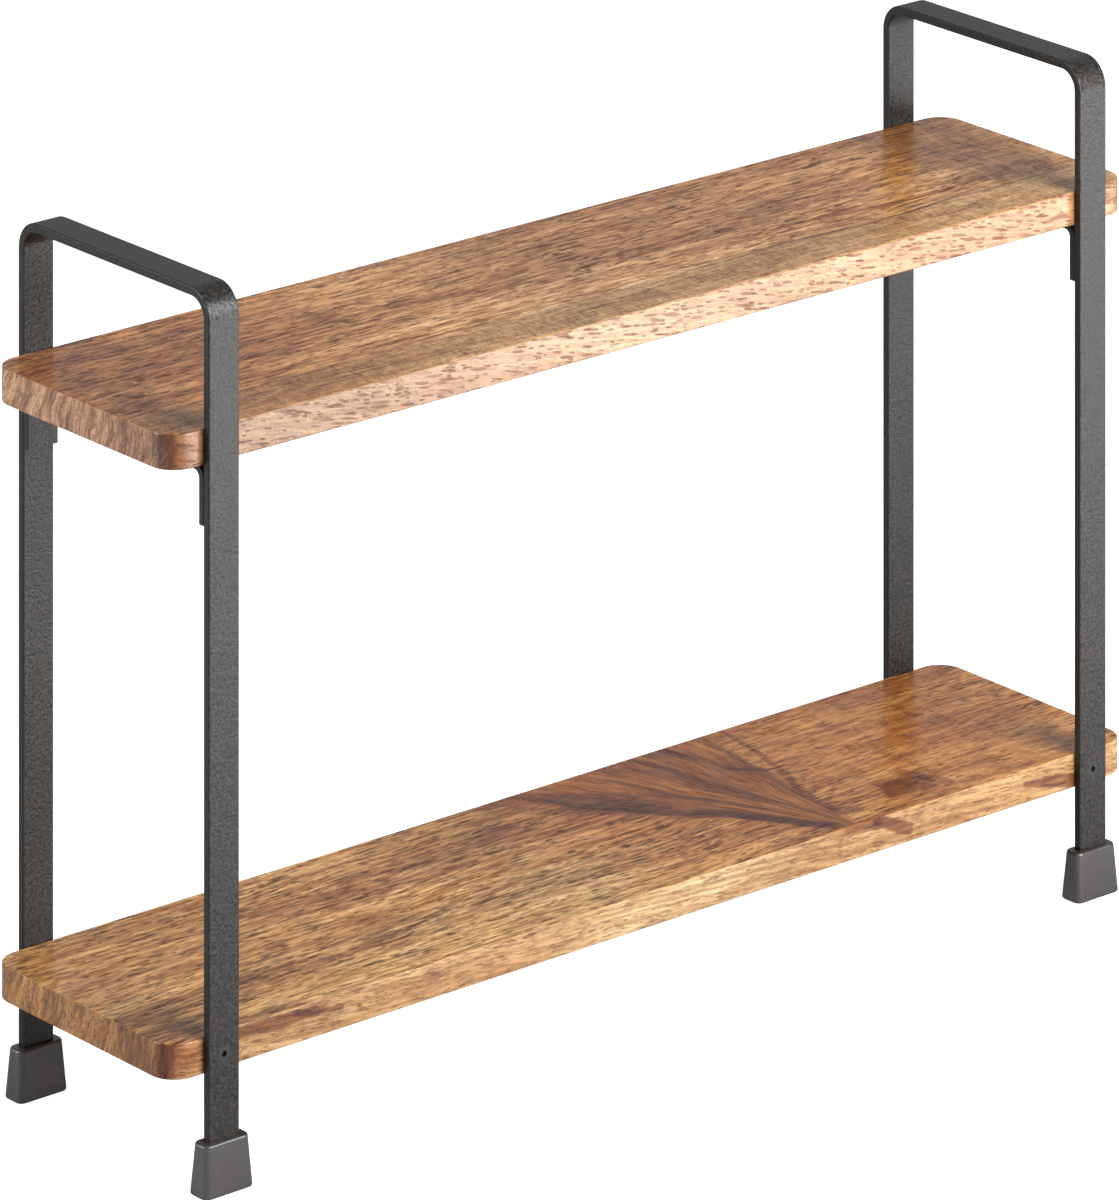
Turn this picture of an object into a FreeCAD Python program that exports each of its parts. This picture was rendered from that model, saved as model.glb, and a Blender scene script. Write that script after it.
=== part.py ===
"""Two-shelf desk hutch: two solid wood boards held between two bent flat-bar end frames.

Millimetres. +X runs along the boards, +Y from front to back, +Z up. The origin lies on the
surface the hutch stands on, below the middle of the boards. Each named node is one STEP file.
"""

import FreeCAD
import Part

import math
import os

V = FreeCAD.Vector
X_AXIS, Z_AXIS = V(1, 0, 0), V(0, 0, 1)
SIDES = {"left": -1, "right": 1}
FACES = {"front": -1, "back": 1}

# ---------------------------------------------------------------- driving dimensions
# Flat bar of the end frames
BAR_WIDTH = 16.0
BAR_THICKNESS = 4.0
BAR_EDGE_RADIUS = 0.75
BEND_INNER_RADIUS = 8.5

# Boards
BOARD_LENGTH = 543.0
BOARD_DEPTH = 123.5            # the frames' legs touch both long edges
BOARD_THICKNESS = 15.0
BOARD_CORNER_RADIUS = 12.0     # in plan
BOARD_EASED_EDGE = 0.7         # top and bottom arrises
BOARD_OVERHANG = 17.5          # beyond each frame's outer side

# Heights, one above the other
FLOOR_CLEARANCE = 49.0         # floor to the lower board
BAY_HEIGHT = 236.0             # between the boards
HANDLE_CLEARANCE = 53.0        # upper board to the underside of the rail

# Rubber feet
FOOT_HEIGHT = 21.7
FOOT_FLOOR = 4.0               # rubber under the leg's end
FOOT_END_WALL = 3.8            # at the top, beside the bar's edges
FOOT_FACE_WALL = 2.7           # at the top, over the bar's faces
FOOT_END_FLARE = 1.4           # how much further out each end stands at the base
FOOT_FACE_FLARE = 1.65         # how much further out each face stands at the base
FOOT_CORNER_RADIUS = 3.4
FOOT_BASE_EDGE_RADIUS = 1.1
FOOT_TOP_EDGE_RADIUS = 1.0

# Angle brackets under the upper board
BRACKET_THICKNESS = 3.0
BRACKET_DROP = 25.0            # below the board's underside
BRACKET_REACH = 25.0           # from the leg's inner face
BRACKET_INNER_RADIUS = 3.0
BRACKET_EDGE_RADIUS = 0.4
BRACKET_HOLE_FROM_LEG = 15.5

# Pan-head wood screws, up through the brackets
PAN_SHANK_DIAMETER = 3.5
PAN_LENGTH = 12.0              # under the head
PAN_HEAD_DIAMETER = 8.0
PAN_HEAD_HEIGHT = 2.4
PAN_HEAD_EDGE_RADIUS = 1.3
PAN_HOLE_CLEARANCE = 0.5       # on the bracket hole's radius
PAN_RECESS_SPAN = 4.2
PAN_RECESS_WIDTH = 0.9
PAN_RECESS_DEPTH = 1.4

# Countersunk hex-socket screws, through the legs into the lower board's long edges
CSK_SHANK_DIAMETER = 3.5
CSK_LENGTH = 30.0              # over all
CSK_HEAD_DIAMETER = 6.4
CSK_SUNK = 0.1                 # head below the bar's face
CSK_HOLE_CLEARANCE = 0.15      # on the bar hole's radius
CSK_SOCKET_ACROSS_FLATS = 2.5
CSK_SOCKET_DEPTH = 1.8

SCREW_POINT_LENGTH = 3.0
PILOT_END_GAP = 1.0            # pilot hole beyond the screw's point

TOLERANCE = 1e-4               # for telling edges apart by their place

# ---------------------------------------------------------------- places that follow
LOWER_BOARD_UNDERSIDE = FLOOR_CLEARANCE
UPPER_BOARD_UNDERSIDE = LOWER_BOARD_UNDERSIDE + BOARD_THICKNESS + BAY_HEIGHT
FRAME_HEIGHT = UPPER_BOARD_UNDERSIDE + BOARD_THICKNESS + HANDLE_CLEARANCE + BAR_THICKNESS
FRAME_DEPTH = BOARD_DEPTH + 2 * BAR_THICKNESS
FRAME_X = BOARD_LENGTH / 2 - BOARD_OVERHANG - BAR_WIDTH / 2
BEND_OUTER_RADIUS = BEND_INNER_RADIUS + BAR_THICKNESS
LEG_CENTRE_Y = (FRAME_DEPTH - BAR_THICKNESS) / 2
FOOT_TOP_LENGTH = BAR_WIDTH + 2 * FOOT_END_WALL
FOOT_TOP_DEPTH = BAR_THICKNESS + 2 * FOOT_FACE_WALL
FOOT_BASE_LENGTH = FOOT_TOP_LENGTH + 2 * FOOT_END_FLARE
FOOT_BASE_DEPTH = FOOT_TOP_DEPTH + 2 * FOOT_FACE_FLARE
LOWER_SCREW_Z = LOWER_BOARD_UNDERSIDE + BOARD_THICKNESS / 2
BRACKET_HOLE_Y = BOARD_DEPTH / 2 - BRACKET_HOLE_FROM_LEG
PAN_SEAT_Z = UPPER_BOARD_UNDERSIDE - BRACKET_THICKNESS
CSK_HEAD_Y = FRAME_DEPTH / 2 - CSK_SUNK


def arc(start, middle, end):
    """Edge of the circle through three points."""
    return Part.Arc(start, middle, end).toShape()


def line(start, end):
    """Straight edge between two points."""
    return Part.makeLine(start, end)


def quarter(centre, radius, from_angle):
    """Start, middle and end of a quarter circle in the YZ plane, turning from Y towards Z."""
    angles = [math.radians(from_angle + step) for step in (0, 45, 90)]
    return [centre + V(0, radius * math.cos(a), radius * math.sin(a)) for a in angles]


def prism(edges, length):
    """Extrude a closed outline in the YZ plane to both sides of X = 0."""
    face = Part.Face(Part.Wire(Part.sortEdges(edges)[0]))
    face.translate(V(-length / 2, 0, 0))
    return face.extrude(V(length, 0, 0))


def edges_where(shape, test):
    """Edges of a shape whose two ends both pass a test on the point."""
    return [e for e in shape.Edges if len(e.Vertexes) == 2 and all(test(v.Point) for v in e.Vertexes)]


def near(a, b):
    """Whether two lengths are the same."""
    return abs(a - b) < TOLERANCE


def centred_box(length, depth, height, z_low):
    """Box centred on the Z axis, standing on a height."""
    return Part.makeBox(length, depth, height, V(-length / 2, -depth / 2, z_low))


# ---------------------------------------------------------------- screws
def turned(outline):
    """Solid of revolution about +Z from an outline of (radius, height) points."""
    points = [V(radius, 0, height) for radius, height in outline]
    wire = Part.makePolygon(points + points[:1])
    return Part.Face(wire).revolve(V(0, 0, 0), Z_AXIS, 360)


def pan_screw():
    """Pan-head screw along +Z, the head's seat at Z = 0 and the cross recess facing -Z."""
    shank, head = PAN_SHANK_DIAMETER / 2, PAN_HEAD_DIAMETER / 2
    body = turned([
        (0, -PAN_HEAD_HEIGHT), (head, -PAN_HEAD_HEIGHT), (head, 0), (shank, 0),
        (shank, PAN_LENGTH - SCREW_POINT_LENGTH), (0, PAN_LENGTH)])
    rim = [e for e in body.Edges if near(e.BoundBox.ZMax, -PAN_HEAD_HEIGHT)]
    body = body.makeFillet(PAN_HEAD_EDGE_RADIUS, rim)
    for length, depth in ((PAN_RECESS_SPAN, PAN_RECESS_WIDTH), (PAN_RECESS_WIDTH, PAN_RECESS_SPAN)):
        body = body.cut(centred_box(length, depth, PAN_RECESS_DEPTH, -PAN_HEAD_HEIGHT))
    return body


def countersunk_screw():
    """Countersunk screw along +Z, the head's flat face at Z = 0 with a hex socket in it."""
    shank, head = CSK_SHANK_DIAMETER / 2, CSK_HEAD_DIAMETER / 2
    body = turned([
        (0, 0), (head, 0), (shank, head - shank),
        (shank, CSK_LENGTH - SCREW_POINT_LENGTH), (0, CSK_LENGTH)])
    corner = CSK_SOCKET_ACROSS_FLATS / math.sqrt(3)
    hexagon = [V(corner * math.cos(math.radians(a)), corner * math.sin(math.radians(a)), 0)
               for a in range(0, 360, 60)]
    socket = Part.Face(Part.makePolygon(hexagon + hexagon[:1])).extrude(V(0, 0, CSK_SOCKET_DEPTH))
    return body.cut(socket)


def pan_places():
    """Place of each upper screw, its head's seat on a bracket's underside."""
    return [V(side * FRAME_X, face * BRACKET_HOLE_Y, PAN_SEAT_Z)
            for side in SIDES.values() for face in FACES.values()]


def countersunk_places():
    """Place and turn of each lower screw, driven inwards along Y."""
    return [(V(side * FRAME_X, face * CSK_HEAD_Y, LOWER_SCREW_Z), face * 90)
            for side in SIDES.values() for face in FACES.values()]


def along_y(shape, place, turn):
    """Turn a shape that points along +Z about X, and put it in its place."""
    placed = shape.copy()
    placed.rotate(V(0, 0, 0), X_AXIS, turn)
    placed.translate(place)
    return placed


# ---------------------------------------------------------------- boards
def board(underside):
    """Board with rounded corners in plan and eased top and bottom arrises."""
    slab = centred_box(BOARD_LENGTH, BOARD_DEPTH, BOARD_THICKNESS, underside)
    upright = [e for e in slab.Edges if near(e.BoundBox.ZLength, BOARD_THICKNESS)]
    slab = slab.makeFillet(BOARD_CORNER_RADIUS, upright)
    arrises = [e for e in slab.Edges if near(e.BoundBox.ZLength, 0)]
    return slab.makeFillet(BOARD_EASED_EDGE, arrises)


def upper_board():
    """Upper board with blind pilot holes for the bracket screws."""
    shape = board(UPPER_BOARD_UNDERSIDE)
    depth = PAN_LENGTH - BRACKET_THICKNESS + PILOT_END_GAP
    for place in pan_places():
        foot = V(place.x, place.y, UPPER_BOARD_UNDERSIDE)
        shape = shape.cut(Part.makeCylinder(PAN_SHANK_DIAMETER / 2, depth, foot, Z_AXIS))
    return shape


def lower_board():
    """Lower board with pilot holes in both long edges."""
    shape = board(LOWER_BOARD_UNDERSIDE)
    pilot = Part.makeCylinder(CSK_SHANK_DIAMETER / 2, CSK_LENGTH + PILOT_END_GAP)
    for place, turn in countersunk_places():
        shape = shape.cut(along_y(pilot, place, turn))
    return shape


# ---------------------------------------------------------------- frames
def frame(side):
    """Inverted U of flat bar: two legs, two bends and the top rail, with softened long edges."""
    half, bend = FRAME_DEPTH / 2, FRAME_HEIGHT - BEND_OUTER_RADIUS
    inner = half - BAR_THICKNESS
    outline = []
    for y_wall, radius in ((half, BEND_OUTER_RADIUS), (inner, BEND_INNER_RADIUS)):
        back = quarter(V(0, y_wall - radius, bend), radius, 0)
        front = quarter(V(0, radius - y_wall, bend), radius, 90)
        outline += [arc(*back), arc(*front), line(back[2], front[0]),
                    line(V(0, y_wall, FOOT_FLOOR), back[0]), line(V(0, -y_wall, FOOT_FLOOR), front[2])]
    outline += [line(V(0, face * inner, FOOT_FLOOR), V(0, face * half, FOOT_FLOOR))
                for face in FACES.values()]
    bar = prism(outline, BAR_WIDTH)
    long_edges = [e for e in edges_where(bar, lambda p: near(abs(p.x), BAR_WIDTH / 2))
                  if e.BoundBox.ZMax > FOOT_FLOOR + BAR_EDGE_RADIUS]
    bar = bar.makeFillet(BAR_EDGE_RADIUS, long_edges)
    bar.translate(V(side * FRAME_X, 0, 0))
    return bar.cut(Part.makeCompound(frame_holes(side)))


def frame_holes(side):
    """Countersunk holes through the legs of one frame, at the lower board's half thickness."""
    through = CSK_SHANK_DIAMETER / 2 + CSK_HOLE_CLEARANCE
    mouth = CSK_HEAD_DIAMETER / 2
    tool = turned([(0, -CSK_SUNK), (mouth, -CSK_SUNK), (mouth, 0),
                          (through, mouth - through), (through, BAR_THICKNESS), (0, BAR_THICKNESS)])
    return [along_y(tool, place, turn) for place, turn in countersunk_places()
            if place.x * side > 0]


# ---------------------------------------------------------------- brackets
def bracket(side, face):
    """Angle bracket welded inside a leg, its flat flange under the upper board."""
    drop, reach, wall = BRACKET_DROP, BRACKET_REACH, BRACKET_THICKNESS
    inner = BRACKET_INNER_RADIUS
    outer = inner + wall
    centre = V(0, outer, -outer)
    bend_out = quarter(centre, outer, 90)
    bend_in = quarter(centre, inner, 90)
    outline = [
        arc(*bend_out), arc(*bend_in),
        line(bend_out[0], V(0, reach, 0)), line(V(0, reach, 0), V(0, reach, -wall)),
        line(V(0, reach, -wall), bend_in[0]),
        line(bend_out[2], V(0, 0, -drop)), line(V(0, 0, -drop), V(0, wall, -drop)),
        line(V(0, wall, -drop), bend_in[2])]
    plate = prism(outline, BAR_WIDTH)
    rims = edges_where(plate, lambda p: near(abs(p.x), BAR_WIDTH / 2))
    plate = plate.makeFillet(BRACKET_EDGE_RADIUS, rims)
    hole = PAN_SHANK_DIAMETER / 2 + PAN_HOLE_CLEARANCE
    plate = plate.cut(Part.makeCylinder(hole, wall, V(0, BRACKET_HOLE_FROM_LEG, -wall), Z_AXIS))
    if face > 0:
        plate.rotate(V(0, 0, 0), Z_AXIS, 180)
    plate.translate(V(side * FRAME_X, face * BOARD_DEPTH / 2, UPPER_BOARD_UNDERSIDE))
    return plate


# ---------------------------------------------------------------- feet
def rectangle(length, depth, height):
    """Closed wire of a rectangle centred on the Z axis, at a height."""
    corners = [V(x * length / 2, y * depth / 2, height) for x, y in ((-1, -1), (1, -1), (1, 1), (-1, 1))]
    return Part.makePolygon(corners + corners[:1])


def leg_section(z_low, z_high):
    """Length of the bar's own section, centred on the Z axis."""
    bar = centred_box(BAR_WIDTH, BAR_THICKNESS, z_high - z_low, z_low)
    corners = [e for e in bar.Edges if near(e.BoundBox.ZLength, z_high - z_low)]
    return bar.makeFillet(BAR_EDGE_RADIUS, corners)


def foot(side, face):
    """Tapered rubber cap pushed onto a leg's end."""
    cap = Part.makeLoft([rectangle(FOOT_BASE_LENGTH, FOOT_BASE_DEPTH, 0),
                         rectangle(FOOT_TOP_LENGTH, FOOT_TOP_DEPTH, FOOT_HEIGHT)], True, True)
    upright = [e for e in cap.Edges if e.BoundBox.ZLength > FOOT_HEIGHT / 2]
    cap = cap.makeFillet(FOOT_CORNER_RADIUS, upright)
    for height, radius in ((0, FOOT_BASE_EDGE_RADIUS), (FOOT_HEIGHT, FOOT_TOP_EDGE_RADIUS)):
        rim = edges_where(cap, lambda p, z=height: near(p.z, z))
        cap = cap.makeFillet(radius, rim)
    cap = cap.cut(leg_section(FOOT_FLOOR, FOOT_HEIGHT))
    cap.translate(V(side * FRAME_X, face * LEG_CENTRE_Y, 0))
    return cap


def main():
    """Build every node and write one STEP file for each."""
    nodes = {
        "upper_board": upper_board(),
        "lower_board": lower_board(),
        "upper_board_screws": Part.makeCompound(
            [pan_screw().translated(place) for place in pan_places()]),
        "lower_board_screws": Part.makeCompound(
            [along_y(countersunk_screw(), place, turn) for place, turn in countersunk_places()]),
    }
    for side_name, side in SIDES.items():
        nodes[f"{side_name}_frame"] = frame(side)
        for face_name, face in FACES.items():
            nodes[f"bracket_{side_name}_{face_name}"] = bracket(side, face)
            nodes[f"foot_{side_name}_{face_name}"] = foot(side, face)

    os.makedirs("parts", exist_ok=True)
    for name, shape in nodes.items():
        shape.exportStep(f"parts/{name}.step")
        box = shape.optimalBoundingBox(False)
        print(f"{name:22s} solids {len(shape.Solids)} valid {shape.isValid()} volume {shape.Volume:.1f}"
              f"  X {box.XMin:.2f} {box.XMax:.2f}  Y {box.YMin:.2f} {box.YMax:.2f}"
              f"  Z {box.ZMin:.2f} {box.ZMax:.2f}")


if __name__ == "__main__":
    main()
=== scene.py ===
"""Looks of a two-shelf desk hutch: oiled solid wood boards in textured black flat-bar frames.

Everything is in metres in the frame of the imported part: +X along the boards, +Y from front to
back, +Z up. Each sub-assembly is a class that builds its own closed meshes as numpy surfaces and
dresses them in a finish. The studio at the end adds the floor, the lights and the camera.
"""

import logging
import math
from dataclasses import dataclass, field
from enum import Enum

import bmesh
import bpy
import numpy as np
from mathutils import Matrix, Vector
from mathutils.geometry import delaunay_2d_cdt


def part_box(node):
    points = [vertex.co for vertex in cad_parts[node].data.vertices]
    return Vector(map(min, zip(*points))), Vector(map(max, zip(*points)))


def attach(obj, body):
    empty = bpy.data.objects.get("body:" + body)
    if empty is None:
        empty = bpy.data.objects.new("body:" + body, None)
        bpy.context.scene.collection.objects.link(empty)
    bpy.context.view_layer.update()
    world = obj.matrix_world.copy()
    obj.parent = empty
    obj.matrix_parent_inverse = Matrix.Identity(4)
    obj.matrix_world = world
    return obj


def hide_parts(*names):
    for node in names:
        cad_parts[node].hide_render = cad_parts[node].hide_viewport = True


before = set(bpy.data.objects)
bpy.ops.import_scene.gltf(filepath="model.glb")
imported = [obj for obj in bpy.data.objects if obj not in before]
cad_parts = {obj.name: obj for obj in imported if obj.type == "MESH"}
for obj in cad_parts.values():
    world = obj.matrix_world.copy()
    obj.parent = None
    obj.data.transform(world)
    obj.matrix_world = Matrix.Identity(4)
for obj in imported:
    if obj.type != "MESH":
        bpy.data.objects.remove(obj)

logging.basicConfig(level=logging.INFO, format="%(levelname)s %(message)s")
LOG = logging.getLogger("desk_hutch")

MM = 0.001
BODY = "root"
WELD_DISTANCE = 0.002 * MM
SHARP_ANGLE = math.radians(40)
SWIRL_SHIFT, EDGE_SHIFT, END_SHIFT, MARK_SHIFT = 20.0, 31.0, 47.0, 11.0  # set noise patterns apart
QUARTER = math.pi / 2

Array = np.ndarray
Socket = bpy.types.NodeSocket
Colour = tuple[float, float, float]


class Side(Enum):
    """End of the hutch, with its sign along X."""

    LEFT = -1
    RIGHT = 1


class Face(Enum):
    """Long face of the hutch, with its sign along Y."""

    FRONT = -1
    BACK = 1


def tone(red: int, green: int, blue: int) -> Colour:
    """Turn a screen colour in steps of 0 to 255 into linear light.

    Args:
        red: Red step.
        green: Green step.
        blue: Blue step.

    Returns:
        The colour in linear light.
    """
    steps = np.array([red, green, blue]) / 255
    light = np.where(steps <= 0.04045, steps / 12.92, ((steps + 0.055) / 1.055) ** 2.4)
    return tuple(float(part) for part in light)


# ---------------------------------------------------------------- surfaces
def rounded_loops(half_x: Array, half_y: Array, radius: Array, steps: int) -> Array:
    """Round-cornered rectangles, one for each row of the inputs.

    Each corner is a quarter circle about its own centre, which lies one radius inside both sides:
    centre + radius * (cos a, sin a), with a running on from one corner to the next.

    Args:
        half_x: Half lengths along the first axis, one per row.
        half_y: Half lengths along the second axis, one per row.
        radius: Corner radii, one per row.
        steps: Straight steps in each corner.

    Returns:
        Points of shape (rows, 4 * (steps + 1), 2), counter-clockwise from the first axis.
    """
    half_x, half_y, radius = (np.atleast_1d(a)[:, None, None] for a in (half_x, half_y, radius))
    angle = np.arange(4)[:, None] * QUARTER + np.linspace(0, QUARTER, steps + 1)[None, :]
    sign_x = np.array([1, -1, -1, 1])[None, :, None]
    sign_y = np.array([1, 1, -1, -1])[None, :, None]
    x = sign_x * (half_x - radius) + radius * np.cos(angle)[None]
    y = sign_y * (half_y - radius) + radius * np.sin(angle)[None]
    return np.stack([x, y], axis=-1).reshape(len(x), -1, 2)


class Flat(Enum):
    """Straight side of a rounded loop along X, by the number of corners that come before it."""

    PLUS_Y = 1
    MINUS_Y = 3

    def column(self, steps: int) -> int:
        """Column of the grid cell that spans this side."""
        return self.value * (steps + 1) - 1


def turned(profile: Array, centre: Vector, axis: Vector, around: int) -> Array:
    """Surface of revolution: centre + axis * height + radius * (e1 cos a + e2 sin a).

    Args:
        profile: Rows of (radius, height), or (radius at each angle, height) given as
            an array of shape (rows, around + 1) with the height in the last column.
        centre: Point on the axis at height 0.
        axis: Direction of the axis.
        around: Steps round the axis.

    Returns:
        Points of shape (rows, around, 3).
    """
    axis = axis.normalized()
    first = axis.orthogonal().normalized()
    second = axis.cross(first)
    angle = np.linspace(0, 2 * math.pi, around, endpoint=False)
    ring = np.outer(np.cos(angle), first) + np.outer(np.sin(angle), second)
    radii, height = profile[:, :-1], profile[:, -1]
    radii = np.broadcast_to(radii, (len(profile), around))
    return np.array(centre) + height[:, None, None] * np.array(axis) + radii[..., None] * ring[None]


class Shell:
    """Gathers the surfaces of one piece and welds them into one closed mesh."""

    def __init__(self) -> None:
        """Start with no surface."""
        self.points: list[Array] = []
        self.faces: list[list[int]] = []
        self.count = 0

    def _store(self, points: Array, faces: Array) -> None:
        """Keep points and faces, the faces numbered from the points' own start."""
        self.faces += (faces + self.count).tolist()
        self.points.append(points)
        self.count += len(points)

    def grid(self, points: Array, keep: Array | None = None) -> None:
        """Add a surface that closes on itself along its columns.

        Args:
            points: Points of shape (rows, columns, 3).
            keep: Which cells to make, of shape (rows - 1, columns), or None for all.
        """
        rows, columns = points.shape[:2]
        index = np.arange(rows * columns).reshape(rows, columns)
        after = np.roll(index, -1, axis=1)
        cells = np.stack([index[:-1], index[1:], after[1:], after[:-1]], axis=-1)
        self._store(points.reshape(-1, 3), cells.reshape(-1, 4) if keep is None else cells[keep])

    def flat(self, outline: Array, holes: list[Array], axes: tuple[int, int]) -> None:
        """Add a flat face with round holes, as triangles between its loops.

        Args:
            outline: Points of the outer loop, of shape (n, 3).
            holes: Loops of the holes, each a regular polygon of shape (m, 3).
            axes: The two coordinates that tell points of the plane apart.
        """
        loops = [outline, *holes]
        points = np.concatenate(loops)
        plane = points[:, axes]
        starts = np.cumsum([0] + [len(loop) for loop in loops])
        edges = np.concatenate([
            np.stack([np.arange(low, high), np.roll(np.arange(low, high), -1)], axis=1)
            for low, high in zip(starts[:-1], starts[1:])])
        made = delaunay_2d_cdt([Vector(p) for p in plane.tolist()], edges.tolist(), [], 2, 1e-9)
        source = np.array([ids[0] for ids in made[3]])
        triangles = source[np.array(made[2])]
        middle = plane[triangles].mean(axis=1)
        for hole in holes:
            loop = hole[:, axes]
            centre = loop.mean(axis=0)
            reach = np.linalg.norm((loop[0] + loop[1]) / 2 - centre)
            outside = np.linalg.norm(middle - centre, axis=1) > reach
            triangles, middle = triangles[outside], middle[outside]
        self._store(points, triangles)

    def piece(self, name: str) -> bpy.types.Object:
        """Weld the surfaces, turn every face outwards and make the object.

        Args:
            name: Name of the piece.

        Returns:
            The new object, smooth with sharp edges kept, lit by area-weighted normals.
        """
        mesh = bpy.data.meshes.new(name)
        mesh.from_pydata(np.concatenate(self.points), [], self.faces)
        work = bmesh.new()
        work.from_mesh(mesh)
        bmesh.ops.remove_doubles(work, verts=work.verts, dist=WELD_DISTANCE)
        bmesh.ops.recalc_face_normals(work, faces=work.faces)
        work.to_mesh(mesh)
        work.free()
        mesh.polygons.foreach_set("use_smooth", np.ones(len(mesh.polygons), bool))
        mesh.set_sharp_from_angle(angle=SHARP_ANGLE)
        piece = bpy.data.objects.new(name, mesh)
        bpy.context.scene.collection.objects.link(piece)
        shading = piece.modifiers.new("even_shading", "WEIGHTED_NORMAL")
        shading.keep_sharp = True
        return piece


@dataclass
class BentBar:
    """Flat bar bent in the YZ plane, with softened edges and countersunk or plain holes.

    The rounded section is carried along the path: centre + across * X + through * normal.
    """

    half_width: float
    half_thickness: float
    edge_radius: float
    edge_steps: int = 4
    bend_steps: int = 14
    bore_steps: int = 32
    hole_room: float = 0.8

    def path(self, corners: Array, radius: float, stops: list[float]) -> tuple[Array, Array, Array]:
        """Centre line of straight runs joined by arcs that all turn clockwise.

        An arc's point at a heading h is its centre + radius * (-sin h, cos h).

        Args:
            corners: Corner points as (y, z), ends included.
            radius: Bend radius of the centre line.
            stops: Lengths along the line where a section is wanted besides.

        Returns:
            Lengths along the line, points (y, z) and headings there.
        """
        runs = np.diff(corners, axis=0)
        headings = np.arctan2(runs[:, 1], runs[:, 0])
        points, turns = [corners[:1]], [headings[:1]]
        for corner, before, after in zip(corners[1:-1], headings[:-1], headings[1:]):
            turn = np.linspace(before, after, self.bend_steps + 1)
            entry = corner - radius * np.array([math.cos(before), math.sin(before)])
            centre = entry + radius * np.array([math.sin(before), -math.cos(before)])
            points.append(centre + radius * np.stack([-np.sin(turn), np.cos(turn)], axis=1))
            turns.append(turn)
        points, turns = np.concatenate([*points, corners[-1:]]), np.concatenate([*turns, headings[-1:]])
        length = np.concatenate([[0], np.cumsum(np.linalg.norm(np.diff(points, axis=0), axis=1))])
        every = np.sort(np.concatenate([length, stops]))
        line = np.stack([np.interp(every, length, points[:, i]) for i in (0, 1)], axis=1)
        return every, line, np.interp(every, length, turns)

    def shell(self, centre_x: float, mirror: int, corners: Array, radius: float,
              holes: list[tuple[float, Array]]) -> Shell:
        """Carry the section along the path and cut the holes.

        Args:
            centre_x: Place of the bar's middle along X.
            mirror: 1, or -1 to flip the bar front to back.
            corners: Corner points of the path as (y, z).
            radius: Bend radius of the centre line.
            holes: For each hole its length along the path and its profile of (radius, depth)
                from the bar's outer face.

        Returns:
            The closed shell.
        """
        reach = self.half_width * self.hole_room
        stops = [length + sign * reach for length, _ in holes for sign in (-1, 1)]
        every, line, heading = self.path(corners, radius, stops)
        loop = rounded_loops(self.half_width, self.half_thickness, self.edge_radius, self.edge_steps)[0]
        normal = np.stack([-np.sin(heading), np.cos(heading)], axis=1)
        grid = np.empty((len(every), len(loop), 3))
        grid[..., 0] = centre_x + loop[None, :, 0]
        grid[..., 1:] = line[:, None, :] + loop[None, :, 1:] * normal[:, None, :]
        grid[..., 1] *= mirror
        keep = np.ones((len(every) - 1, len(loop)), bool)
        shell = Shell()
        for length, profile in holes:
            row = int(np.searchsorted(every, length)) - 1
            outer, inner = (flat.column(self.edge_steps) for flat in (Flat.PLUS_Y, Flat.MINUS_Y))
            keep[row, [outer, inner]] = False
            spot = np.array([np.interp(length, every, line[:, i]) for i in (0, 1)])
            mouth = spot + self.half_thickness * normal[row]
            inward = Vector((0, -normal[row, 0] * mirror, -normal[row, 1]))
            bore = turned(profile, Vector((centre_x, mouth[0] * mirror, mouth[1])), inward, self.bore_steps)
            shell.grid(bore)
            axes = (0, 2) if abs(inward.y) > abs(inward.z) else (0, 1)
            for column, ring in ((outer, bore[0]), (inner, bore[-1])):
                patch = grid[[row, row + 1, row + 1, row], [column, column, column + 1, column + 1]]
                shell.flat(patch, [ring], axes)
        shell.grid(grid, keep)
        for end, after in ((0, 1), (-1, -2)):
            direction = np.abs(line[after] - line[end])
            shell.flat(grid[end], [], (0, 1) if direction[1] > direction[0] else (0, 2))
        return shell


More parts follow.
